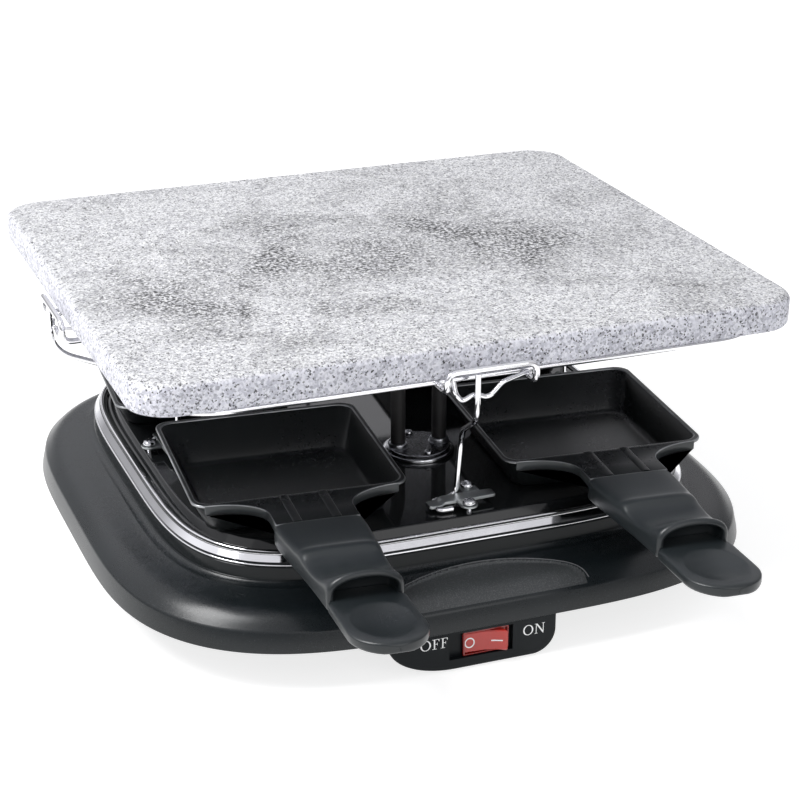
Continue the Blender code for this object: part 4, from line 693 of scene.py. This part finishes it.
def pod_mesh():
    """The pod under the skirt, with the recess for the switch and a soft edge."""
    sections = [[(POD_X + x, POD_FACE_Y + back + rim_bow(POD_X + x), z) for x, z in pod_outline(inset)]
                for inset, back in spots((90, 0), (40, 10), (10, 40), (0, 90))
                + off(0.0, POD_DEPTH, (0, -400), (60, -100), (160, 0))]
    recess = box_mesh("recess", (RECESS_WIDTH, RECESS_DEPTH * 2, RECESS_HEIGHT),
                      (SWITCH_X + RECESS_SHIFT, -SKIRT_FRONT, SWITCH_Z))
    pocket = switch_box("pocket", 2 * FRAME_WALL - 2 * GAP, POD_DEPTH * 3, -SKIRT_FRONT)
    return painted(carved(loft("pod", sections), [recess, pocket]), POD)


def bar(left, low, right, high):
    """The corners of an upright rectangle."""
    return [(left, low), (right, low), (right, high), (left, high)]


def letter_strokes(letter):
    """A serif capital as flat pieces, each a row of (across, up) in shares of its height, and its width."""
    if letter == "O":
        outer = [(0.5 + 0.5 * cos(a), 0.5 + 0.52 * sin(a)) for a in fan(18, 37)]
        inner = [(0.5 + 0.355 * cos(a), 0.5 + 0.445 * sin(a)) for a in fan(18, 37)]
        return [[outer[k], outer[k + 1], inner[k + 1], inner[k]] for k in range(36)], 1.0
    if letter == "F":
        return [bar(0.14, 0.0, 0.27, 1.0), bar(0.0, 0.0, 0.42, 0.05), bar(0.0, 0.95, 0.66, 1.0),
                [(0.61, 0.78), (0.66, 0.74), (0.66, 0.96), (0.56, 0.96)],
                bar(0.27, 0.49, 0.5, 0.545), bar(0.46, 0.38, 0.5, 0.66)], 0.66
    return [bar(0.12, 0.0, 0.19, 1.0), bar(0.81, 0.0, 0.88, 1.0),
            [(0.1, 1.0), (0.26, 1.0), (0.88, 0.12), (0.88, -0.02), (0.8, -0.02)],
            bar(0.0, 0.95, 0.22, 1.0), bar(0.02, 0.0, 0.3, 0.05), bar(0.7, 0.95, 1.0, 1.0)], 1.0


def word_mesh(word, centre_x, centre_z):
    """A printed word on the pod's face."""
    letters = [letter_strokes(letter) for letter in word]
    length = sum(width for _, width in letters) + LETTER_GAP * (len(word) - 1)
    work = bmesh.new()
    at = -length / 2
    for strokes, width in letters:
        for stroke in strokes:
            corners = []
            for across, up in stroke:
                x = centre_x + (at + across) * WORD_HEIGHT
                z = centre_z + (up - 0.5) * WORD_HEIGHT
                corners.append(work.verts.new((x, POD_FACE_Y + rim_bow(x) - 0.00008, z)))
            work.faces.new(corners)
        at += width + LETTER_GAP
    return painted(mesh_from(word, work), PRINT)


def make_switch():
    """The frame with its bevelled bezel, and the rocker with its O and dash."""
    bezel = switch_box("bezel", 0.0, FRAME_PLATE, SEAT_Y - GAP - FRAME_PLATE / 2, 0.0004)
    holder_y = SEAT_Y - GAP / 2 + FRAME_DEPTH / 2 - 0.0005
    holder = switch_box("holder", 2 * FRAME_WALL, FRAME_DEPTH, holder_y, 0.0003)
    opening = switch_box("opening", 0.0014, 0.0044, SEAT_Y - 0.0028)
    well = switch_box("well", 3 * FRAME_WALL, 2 * (FRAME_DEPTH - 2 * FRAME_WALL), SEAT_Y)
    show("switch_frame", carved(carved(bezel, [holder], "UNION"), [opening, well]), RED_FRAME)
    half, tall = FRAME_WIDTH / 2 - 0.001, FRAME_HEIGHT / 2 - 0.001
    face_line = [(-half, 0.0), (-half * 0.6, 0.00045), (0.0, 0.0009), (half * 0.45, 0.0003), (half * 0.8, -0.0006),
                 (half, -0.0011)]
    outline = [(x, ROCKER_FACE + dip) for x, dip in face_line]
    outline += [(half - 0.0016, -0.0026), (half * 0.7, 0.0018), (-half * 0.7, 0.0018), (0.0016 - half, -0.0026)]
    sections = [[(x * (1 - inset / half), y + inset if y < 0 else y - inset, z) for x, y in outline]
                for inset, z in ((0.0004, -tall), (0.0, 0.0004 - tall), (0.0, tall - 0.0004), (0.0004, tall))]
    rocker = painted(loft("rocker", sections, 30.0), RED)

    def face_at(x):
        for (ax, ay), (bx, by) in zip(face_line, face_line[1:]):
            if x <= bx:
                return ROCKER_FACE + ay + (by - ay) * (x - ax) / (bx - ax) - 0.00006
        return ROCKER_FACE + face_line[-1][1]

    marks = bmesh.new()

    def mark(corners):
        marks.faces.new([marks.verts.new((x, face_at(x), z)) for x, z in corners])

    for k in range(SIGN_SIDES):
        corners = []
        for step, radius in ((k, SIGN_OUTER), (k + 1, SIGN_OUTER), (k + 1, SIGN_INNER), (k, SIGN_INNER)):
            angle = 2 * pi * step / SIGN_SIDES
            corners.append((SIGN_X + radius * cos(angle), radius * 1.08 * sin(angle)))
        mark(corners)
    for k in range(DASH_PARTS):
        left, right = (DASH_START + DASH_LENGTH * step / DASH_PARTS for step in (k, k + 1))
        mark(bar(left, -DASH_HALF, right, DASH_HALF))
    signs = painted(mesh_from("signs", marks), PRINT)
    turn = Matrix.Translation(PIVOT) @ Matrix.Rotation(-ROCKER_THROW / 2, 4, "Z")
    show("switch_rocker", moved(joined("switch_rocker_skin", [rocker, signs]), turn))


def make_rack():
    """The ring, loops, legs and braces in smooth wire, with small weld beads where they meet."""
    ring_z = SLAB_BOTTOM - GAP - RING_WIRE
    outline = rounded_rectangle(SLAB_WIDTH / 2 - RING_INSET_X, SLAB_DEPTH / 2 - RING_INSET_Y, RING_CORNER, 24)
    show("rack_ring", wire_mesh("rack_ring_skin", [(x, y, ring_z) for x, y in outline], RING_WIRE, True), CHROME)
    bead = turned_mesh("bead", [(0.0016 * cos(radians(a)), 0.0011 * sin(radians(a)))
                                for a in range(90, -91, -15)], 14)
    bar_z, tail_z = SLAB_BOTTOM + LOOP_RISE, SLAB_BOTTOM - 2 * GAP - 2 * RING_WIRE - LOOP_WIRE
    foot_z = FLOOR_Z + GAP + LEG_WIRE
    for side, turn in SIDE_TURNS.items():
        half, inset = (SLAB_DEPTH / 2, RING_INSET_Y) if side in ("front", "back") else (SLAB_WIDTH / 2, RING_INSET_X)
        ring_place, out = half - inset, half + LOOP_STAND_OFF
        tail = ring_place - LOOP_TAIL
        arm = [(-LOOP_HALF, -tail, tail_z), (-LOOP_HALF, -out, tail_z), (-LOOP_HALF, -out, bar_z)]
        arm += [(-x, y, z) for x, y, z in reversed(arm)]
        loop = wire_mesh(f"loop_{side}", bent_path(arm, LOOP_BEND), LOOP_WIRE)
        beads = [place_turned(bead, (sign * LOOP_HALF, -ring_place, tail_z + LOOP_WIRE + 0.0001))
                 for sign in (-1, 1)]
        whole = joined(f"rack_loop_{side}_skin", [painted(mesh, CHROME) for mesh in [loop, *beads]])
        show(f"rack_loop_{side}", place_turned(whole, turn=turn))
        leg = bent_path([(LEG_SHIFT, -out, bar_z - LOOP_WIRE - GAP), (LEG_SHIFT, -out, LEG_KNEE_Z),
                         (LEG_ANKLE_SHIFT, -HOOK_INNER, LEG_ANKLE_Z), (0.0, -HOOK_INNER, foot_z),
                         (-LEG_FOOT_REACH, -HOOK_INNER, foot_z), (-LEG_FOOT_REACH, -HOOK_OUTER, foot_z),
                         (-LEG_TOE, -HOOK_OUTER, foot_z)], LEG_BEND, 14)
        wave = out - LEG_WIRE - BRACE_WIRE - GAP
        end = max(ring_place + RING_WIRE + BRACE_WIRE + GAP, wave - LOOP_TAIL)
        waves = [(BRACE_LEFT, BRACE_TOP_Z - 2 * BRACE_BEND), (LEG_SHIFT - BRACE_VALLEY_OUT, BRACE_VALLEY_Z),
                 (LEG_SHIFT, BRACE_PEAK_Z), (LEG_SHIFT + BRACE_VALLEY_OUT, BRACE_VALLEY_Z),
                 (LEG_SHIFT + 2 * BRACE_VALLEY_OUT, BRACE_TOP_Z - BRACE_BEND)]
        brace = bent_path([(BRACE_LEFT, -end, BRACE_TOP_Z), *((x, -wave, z) for x, z in waves),
                           (BRACE_RIGHT, -end, BRACE_TOP_Z)], BRACE_ROUND, 12)
        for kind, path, radius in (("leg", leg, LEG_WIRE), ("brace", brace, BRACE_WIRE)):
            show(f"rack_{kind}_{side}", place_turned(wire_mesh(f"{kind}_{side}", path, radius), turn=turn), CHROME)


def clamp_mesh():
    """A pressed plate: a bar with a step at its left end, and two round ears for the screws."""
    end_x, half_bar = CLAMP_LENGTH / 2, CLAMP_WIDTH / 2
    sections = []
    for k in range(41):
        x = -end_x + 2 * end_x * k / 40
        end = max(0.0, (abs(x) - end_x + 0.0012) / 0.0012)
        half = (half_bar - 0.0006 * abs(x) / end_x) - 0.0008 * end ** 2
        step = min(1.0, max(0.0, (-x - 0.0085) / 0.0022))
        low = -0.0014 * step * step * (3 - 2 * step)
        high = low + CLAMP_SHEET
        sections.append([(x, -half, low), (x, half, low), (x, half, high - 0.0003),
                         (x, half - 0.0003, high), (x, 0.0003 - half, high), (x, -half, high - 0.0003)])
    parts = [loft("bar", sections)]
    for _, across, reach in CLAMP_SCREWS:
        sign = copysign(1.0, reach)
        ear = [(across + 0.004 * cos(a), reach - sign * 0.0002 + sign * 0.004 * sin(a)) for a in fan(16, 17)]
        ear += [(across - 0.004, sign * 0.0034), (across + 0.004, sign * 0.0034)]
        parts.append(plate_mesh("ear", ear, CLAMP_SHEET - 0.0001, 0.00005, 0.0003))
    return joined("clamp", [painted(mesh, PLATE) for mesh in parts])


def screw_mesh(head_radius, head_height, shank):
    """A domed cross-head screw that points down from its seat at height zero."""
    profile = [(head_radius * out, head_height * up) for out, up in
               ((0.0, 1.0), (0.3, 0.985), (0.55, 0.91), (0.76, 0.76), (0.91, 0.52), (0.99, 0.26), (1.0, 0.1),
                (0.98, 0.0))]
    profile += [(SCREW_SHANK, 0.0), (SCREW_SHANK, -shank), (0.0, -shank)]
    long, slot = head_radius * 1.25, head_radius * 0.26
    cross = [box_mesh("cross", size, (0.0, 0.0, head_height)) for size in
             ((long, slot, head_height * 1.1), (slot, long, head_height * 1.1))]
    return painted(carved(turned_mesh("screw", profile, 32, 50.0), cross), BRIGHT)


def make_clamps():
    """The clamp plates with their screws, and the screws of the flange."""
    plate = clamp_mesh()
    clamp_screw = screw_mesh(0.003, 0.0022, CLAMP_SHEET + 2 * LEG_WIRE + 3 * GAP + 0.0042)
    for side, turn in SIDE_TURNS.items():
        spin = Matrix.Rotation(turn, 3, "Z")
        show(f"clamp_plate_{side}", place_turned(plate, spin @ Vector((0.0, -CLAMP_PLACE, CLAMP_Z)), turn))
        for number, (end, across, reach) in enumerate(CLAMP_SCREWS):
            seat = spin @ Vector((across, -CLAMP_PLACE + reach, CLAMP_Z + CLAMP_SHEET + GAP))
            show(f"clamp_screw_{side}_{end}", place_turned(clamp_screw, seat, 0.5 + turn + number))
    flange_screw = screw_mesh(0.002, 0.0016, FLANGE_SHEET + GAP + 0.0045)
    for number, sign in ((1, -1), (2, 1)):
        seat = (TUBE_X, TUBE_Y + sign * FLANGE_SCREW_SEAT, FLOOR_Z + FLANGE_SHEET + 2 * GAP)
        show(f"flange_screw_{number}", place_turned(flange_screw, seat, 0.4 * number))


def make_element():
    """The heating tube with its collars, and the stepped flange, whose edge rings are bright metal as painted
    highlights.
    """
    left, right, stub = TUBE_X - TUBE_HALF_SPACING, TUBE_X + TUBE_HALF_SPACING, FLOOR_Z - 0.014
    wide, deep = ELEMENT_WIDE, ELEMENT_DEEP
    loop = ((left, TUBE_Y), (left, -deep), (-wide, -deep), (-wide, deep), (wide, deep), (wide, -deep),
            (right, -deep), (right, TUBE_Y))
    path = bent_path([(left, TUBE_Y, stub), *((x, y, TUBE_Z) for x, y in loop), (right, TUBE_Y, stub)],
                     ELEMENT_BEND, 12)
    show("heating_element", wire_mesh("heating_element_skin", path, TUBE_RADIUS, resolution=8), TUBE)
    low = FLOOR_Z + GAP
    disc = [(0.0, low + 0.003), *off(FLANGE_RADIUS, low, (-210, 300), (-180, 280), (-170, 170))]
    upper = off(FLANGE_RADIUS, low, (-230, 305), (-190, 295), (-165, 260))
    lower = off(FLANGE_RADIUS, low, (-170, 160), (-30, 150), (0, 120), (0, 0), (-300, 0))
    collar = off(TUBE_RADIUS, low, (0, 520), (70, 500), (100, 450), (100, 360), (160, 310), (160, 290))
    collar = turned_mesh("collar_ring", collar, 40, 40.0)
    # The flange's edge rings are bright metal round a dark disc: painted highlights.
    parts = [painted(turned_mesh(name, profile, 72, angle), material) for name, profile, angle, material in
             (("disc", disc, 30.0, PLATE_DARK), ("upper", upper, 60.0, BRIGHT), ("lower", lower, 60.0, BRIGHT))]
    parts += [painted(place_turned(collar, (x, 0.0, 0.0)), STEEL) for x in (-TUBE_HALF_SPACING, TUBE_HALF_SPACING)]
    show("element_flange", place_turned(joined("flange", parts), (TUBE_X, TUBE_Y, 0.0)))


def pan_part(name, rows, material, angle=38.0, caps=OPEN):
    """A run of rounded rings of the pan, from rows of (share of the wall's fall, inset, height)."""
    half_x, half_y = PAN_WIDTH / 2, PAN_LENGTH / 2
    sections = []
    for down, inset, height in rows:
        front, rear = inset + down * PAN_WALL_SLOPE, inset + down * PAN_REAR_SLOPE
        ring = rounded_rectangle(half_x - front, half_y - (front + rear) / 2, PAN_CORNER, 10)
        sections.append([(x, y + half_y + (front - rear) / 2, height) for x, y in ring])
    return painted(loft(name, sections, angle, caps), material)


def tab_outline(inset, root_y, end_y, steps=28):
    """The tab from above: wide at the pan, drawn in by two hollow curves."""
    root, end = TAB_HALF_ROOT - inset, TAB_HALF_END - inset
    right = [(root, root_y)]
    for i in range(steps + 1):
        angle = pi / 2 * i / steps
        right.append((root - (root - end) * sin(angle), -TAB_CURVE * (1 - cos(angle))))
    right.append((end, end_y))
    return right + [(-x, y) for x, y in reversed(right)]


def pan_mesh():
    """The pan: thin walls, a rim whose two fine edges are a light metal as painted highlights, the tab with its
    apron, and two ribs.
    """
    floor, lip = FLOOR_Z + GAP - PAN_RIM_Z, PAN_LIP

    def rows(down, points):
        return [(down, *point) for point in points]

    outside = rows(1, off(lip, floor, (600, 0), (250, 0), (130, 30), (40, 110), (0, 240)))
    outside += rows(0, [(lip, -PAN_RIM_HEIGHT), (0.0004, -PAN_RIM_HEIGHT), *spots((10, -130), (0, -90))])
    inside = rows(0, spots((215, -60)))
    inside += rows(1, [(lip + PAN_SHEET, floor + 0.0036),
                       *off(lip, floor, (130, 240), (210, 160), (330, 110), (500, 100))])
    # The rim's outer and inner rounding rows take the light metal as painted highlights.
    parts = [pan_part("outside", outside, NON_STICK, caps=(True, False)),
             pan_part("outer_line", rows(0, spots((0, -90), (0, -40), (12, -10), (40, 0))), PAINTED_HIGHLIGHT_EDGE, 80.0),
             pan_part("top", rows(0, spots((40, 0), (100, 4), (160, 0))), NON_STICK),
             pan_part("inner_line", rows(0, spots((160, 0), (190, -6), (210, -30), (215, -60))), PAINTED_HIGHLIGHT_EDGE, 80.0),
             pan_part("inside", inside, NON_STICK, caps=(False, True))]
    tab = plate_mesh("tab", tab_outline(0.0, lip, -TAB_LENGTH), TAB_TURN_DOWN, 0.00012 - TAB_TURN_DOWN)
    hollow = plate_mesh("hollow", tab_outline(TAB_SHEET, lip + 0.001, -TAB_LENGTH - 0.001), TAB_TURN_DOWN,
                        -TAB_TURN_DOWN - TAB_SHEET)
    tab = painted(carved(tab, [hollow], bevel=0.00042), NON_STICK, APRON_PAINTED_LIGHT, PAINTED_HIGHLIGHT_EDGE)
    # Painted light: the tab's sloped top edge takes the light metal as a painted highlight and its upright faces the
    # lighter grey as painted light.
    for face in tab.polygons:
        if face.center.z > -0.0009 and 0.12 < face.normal.z < 0.97:
            face.material_index = 2
        elif abs(face.normal.z) < 0.2 and face.center.z > -TAB_TURN_DOWN + 0.0001:
            face.material_index = 1
    parts.append(tab)
    for sign in (-1, 1):
        sections = [[(sign * RIB_X + 0.002 * cos(a), y, rise * sin(a) ** 0.8) for a in fan(14, 15)]
                    for y, rise in spots((200, -10), (170, 40), (120, 70), (60, 90), (-40, 90), (-140, 70),
                                         (-300, 60), (-2500, 60))]
        rib = painted(grid_mesh("rib", sections, 60.0), NON_STICK, PAINTED_HIGHLIGHT_EDGE)
        # Each rib's right flank takes the light metal as a painted highlight.
        for face in rib.polygons:
            if 0.45 < face.normal.x < 0.93 and face.center.y < -0.001:
                face.material_index = 1
        parts.append(rib)
    return joined("pan", parts)


def along(keys, place):
    """A smooth value along rows of (place, value)."""
    if place <= keys[0][0] or place >= keys[-1][0]:
        return keys[0][1] if place <= keys[0][0] else keys[-1][1]
    rises = [(b[1] - a[1]) / (b[0] - a[0]) for a, b in zip(keys, keys[1:])]
    slopes = [rises[0]] + [(a + b) / 2 for a, b in zip(rises, rises[1:])] + [rises[-1]]
    i = max(k for k, key in enumerate(keys[:-1]) if key[0] <= place)
    (start, low), (end, high) = keys[i], keys[i + 1]
    length, share = end - start, (place - start) / (end - start)
    return ((2 * share ** 3 - 3 * share ** 2 + 1) * low + (share ** 3 - 2 * share ** 2 + share) * length * slopes[i]
            + (3 * share ** 2 - 2 * share ** 3) * high + (share ** 3 - share ** 2) * length * slopes[i + 1])


def handle_section(y, half, side, top, under, power, steps=36):
    """One section across the handle: a flat underside and a top that is flat or arched."""
    lean = HANDLE_LEAN * max(0.0, -y - HANDLE_START)
    low = under - 0.0012
    points = [(-half + 0.0014, -under), (half - 0.0014, -under), (half - 0.0004, -under + 0.0003), (half, -low)]
    for i in range(steps + 1):
        angle = pi * i / steps
        cosine, sine = cos(angle), sin(angle)
        x = copysign(abs(cosine) ** (2 / power), cosine)
        points.append((half * x, -side + (side - top) * abs(sine) ** (2 / power)))
    points += [(-half, -low), (-half + 0.0004, -under + 0.0003)]
    return [(x + lean, y, z) for x, z in points]


def handle_mesh():
    """The handle: a block at the root, a ridge, a dip, an arched hood with a hollow face, a thumb rest."""
    tops = spots((2600, 40), (4400, 40), (5000, 80), (5300, 150), (5520, 140), (5900, -20), (6500, -140),
                 (7150, -120), (7700, 40), (8150, 300), (8450, 500), (8620, 580))
    halves = spots((2500, 1880), (3000, 1900), (4450, 1810), (5500, 1720), (7000, 1630), (8620, 1580))
    powers = [(0.025, 5.5), (0.044, 5.2), (0.054, 4.2), (0.064, 4.6), (0.074, 3.8), (0.0862, 2.15)]
    sides, unders = spots((2500, 360), (6400, 400), (8620, 240)), spots((5500, 950), (8620, 980))
    rows = spots((2500, 110), (2515, 60), (2550, 20), (2600, 0))
    rows += [(0.026 + 0.0596 * k / 64, 0.0) for k in range(1, 65)]
    rows += [(0.0856 + 0.002 * sin(radians(a)), 0.002 * (1 - cos(radians(a)))) for a in (15, 30, 45, 60, 75, 90)]
    rows += spots((8740, 250), (8680, 270), (8450, 280), (8150, 340), (7950, 500))
    sections = []
    for y, inset in rows:
        at = HANDLE_CREST if inset > 0.00195 else min(y, HANDLE_CREST)
        sections.append(handle_section(-y, along(halves, at) - inset, along(sides, at), -along(tops, at) + inset,
                                       along(unders, at) - min(inset, 0.0012), along(powers, at)))
    block = painted(loft("block", sections, 55.0), HANDLE)
    sections = []
    start, end = 0.08, HANDLE_END
    round_start = end - TONGUE_HALF
    places = [start + (round_start - start) * k / 36 for k in range(37)]
    places += [round_start + TONGUE_HALF * sin(radians(a))
               for a in (8, 16, 24, 32, 40, 48, 56, 63, 70, 76, 81, 85, 88)]
    for y in places:
        round_share = max(0.0, (y - round_start) / TONGUE_HALF)
        half = TONGUE_HALF * sqrt(1 - round_share ** 2)
        half -= 0.0009 * max(0.0, 1 - max(0.0, y - HANDLE_CREST - 0.0008) / 0.0014)
        edge = max(0.0, 1 - (end - y) / 0.0022)
        turned = 0.0018 * (1 - sqrt(1 - edge ** 2))
        middle = HANDLE_LEAN * (y - HANDLE_START)
        dished = []
        for x, across, z in handle_section(-y, max(half, 0.0012), 0.0068, 0.0048 + turned, 0.0098 - turned, 3.6, 56):
            far = ((x - middle) / 0.0124) ** 2 + ((y - 0.1075) / 0.0148) ** 2
            if far < 1 and z > -0.006:
                z -= 0.0016 * (1 - far) ** 0.9
            dished.append((x, across, z))
        sections.append(dished)
    return joined("handle", [block, painted(loft("tongue", sections, 55.0), HANDLE)])


def make_pans():
    """Four pans and their handles, from two shared shapes."""
    pan, handle = pan_mesh(), handle_mesh()
    for corner, (sign_x, sign_y) in CORNERS.items():
        left, flip = sign_x * sign_y > 0, -sign_y
        x = (-PAN_SPREAD if left else PAN_SPREAD) + PAN_SHIFT
        y = -PAN_FRONT + (PAN_STAGGER if left else -PAN_STAGGER)
        turn = PAN_TURN + (0.0 if sign_y < 0 else pi)
        for kind, mesh in (("pan", pan), ("pan_handle", handle)):
            show(f"{kind}_{corner}", place_turned(mesh, (x * flip, y * flip, PAN_RIM_Z), turn))


def make_underside():
    """Rubber feet with round edges, and the cover screws."""
    profile = spots((0, 1120), (300, 1120), (400, 1040), (300, 1030), (300, 770), (1080, 770), (1100, 740),
                    (1040, 300), (980, 280), (970, 220), (1000, 190), (970, 60), (910, 0), (500, 0), (460, 40),
                    (0, 40))
    foot = turned_mesh("foot", profile, 56)
    cover_screw = moved(screw_mesh(0.003, 0.0022, 0.007), Matrix.Rotation(pi, 4, "X"))
    for corner, (sign_x, sign_y) in CORNERS.items():
        show(f"foot_{corner}", place_turned(foot, (sign_x * FOOT_PLACE, sign_y * FOOT_PLACE, 0.0)), RUBBER)
        seat = (sign_x * BOSS_PLACE, sign_y * BOSS_PLACE, COVER_SCREW_Z - GAP)
        show(f"cover_screw_{corner}", place_turned(cover_screw, seat, sign_x * 0.7 + sign_y))


make_slab()
make_dish()
make_trim_ring()
make_body()
make_switch()
make_rack()
make_clamps()
make_element()
make_pans()
make_underside()

for node_name, node in frame["nodes"].items():
    for holder in node.material_slots:
        holder.material = SLOT_LOOKS[SLOT_OF[node_name]]


# Floor, light and camera
def rays(tree, *kinds):
    """One for rays of these kinds, else zero."""
    light = add(tree, "LightPath")
    total = light.outputs[f"Is {kinds[0]} Ray"]
    for kind in kinds[1:]:
        total = maths(tree, "ADD", total, light.outputs[f"Is {kind} Ray"], kind == kinds[-1])
    return total


def blended(tree, share, first, second):
    """Two shaders mixed by a share."""
    return add(tree, "MixShader", {"Fac": share, 1: first, 2: second}).outputs["Shader"]


def make_floor():
    """A pale floor that keeps a soft shadow and looks white to the camera."""
    mesh = plate_mesh("floor", [(-3.0, -3.0), (3.0, -3.0), (3.0, 3.0), (-3.0, 3.0)], 0.02, -0.0201)
    floor = linked("floor", mesh)
    material = bpy.data.materials.new("floor")
    material.use_nodes = True
    tree = material.node_tree
    tree.nodes.clear()
    paper = ramp(tree, noise_of(tree, 6.0, 2.0), [(0.3, 0.86), (0.7, 0.88)])
    plain = add(tree, "BsdfDiffuse", {"Color": paper}).outputs["BSDF"]
    dim = add(tree, "BsdfDiffuse", {"Color": (0.5, 0.5, 0.5, 1.0)}).outputs["BSDF"]
    glow = add(tree, "Emission", {"Color": (1.0, 1.0, 1.0, 1.0), "Strength": 0.76}).outputs["Emission"]
    bright = add(tree, "AddShader", {0: dim, 1: glow}).outputs["Shader"]
    seen = rays(tree, "Camera", "Glossy", "Transmission")
    add(tree, "OutputMaterial", {"Surface": blended(tree, seen, plain, bright)})
    painted(mesh, material)


def make_world():
    """White to the camera, soft from all sides on rough surfaces, and banded in glossy ones."""
    world = bpy.data.worlds.new("studio")
    SCENE.world = world
    world.use_nodes = True
    tree = world.node_tree
    tree.nodes.clear()
    parts = add(tree, "SeparateXYZ", {0: add(tree, "TexCoord").outputs["Generated"]})

    def part(axis, low, high):
        return span(tree, parts.outputs[axis], low, high, -1.0, 1.0)

    def level(x_low, x_high, y_low, y_high):
        return maths(tree, "MULTIPLY", part("X", x_low, x_high), part("Y", y_low, y_high))

    def sky(red, green, strength):
        return add(tree, "Background", {"Color": (red, green, 1.0, 1.0), "Strength": strength}).outputs["Background"]

    band = ramp(tree, part("Z", 0.0, 1.0), [(0.5, 0.95), (0.54, 0.42), (0.6, 0.48), (0.7, 1.12)])
    soft = sky(0.97, 0.98, level(0.78, 0.42, 0.72, 1.12))
    mirror = sky(0.96, 0.96, maths(tree, "MULTIPLY", level(1.05, 0.7, 0.72, 1.05), band))
    both = blended(tree, rays(tree, "Glossy", "Transmission"), soft, mirror)
    add(tree, "OutputWorld", {"Surface": blended(tree, rays(tree, "Camera"), both, sky(1.0, 1.0, 1.0))})


def make_lamp(name, place, target, size, power):
    """A square softbox that points at a place."""
    lamp = bpy.data.lights.new(name, "AREA")
    lamp.shape = "SQUARE"
    lamp.size = size
    lamp.energy = power
    item = linked(name, lamp)
    item.location = place
    item.rotation_euler = (Vector(target) - Vector(place)).to_track_quat("-Z", "Y").to_euler()


def make_camera():
    """The photograph's point of view."""
    camera = bpy.data.cameras.new("camera")
    camera.sensor_width = SENSOR
    camera.lens = FOCAL_PIXELS * SENSOR / PHOTO_SIZE
    camera.shift_x = (PHOTO_SIZE / 2 - CENTRE_ACROSS) / PHOTO_SIZE
    camera.shift_y = (CENTRE_DOWN - PHOTO_SIZE / 2) / PHOTO_SIZE
    camera.clip_start = 0.05
    item = linked("camera", camera)
    item.location = (-0.3198, -0.8583, 0.4399)
    item.rotation_euler = (radians(90.0 - 24.2), 0.0, radians(-21.0))
    SCENE.camera = item


make_floor()
make_world()
make_lamp("key", (-0.84, 0.0, 1.26), (0.0, 0.0, 0.06), 0.66, 19.0)
make_lamp("left", (-1.3, -0.35, 0.75), (0.0, 0.0, 0.04), 0.8, 0.8)
make_lamp("front", (0.15, -1.45, 0.8), (0.0, 0.0, 0.06), 1.1, 4.6)
make_camera()
SCENE.view_settings.view_transform = "Standard"
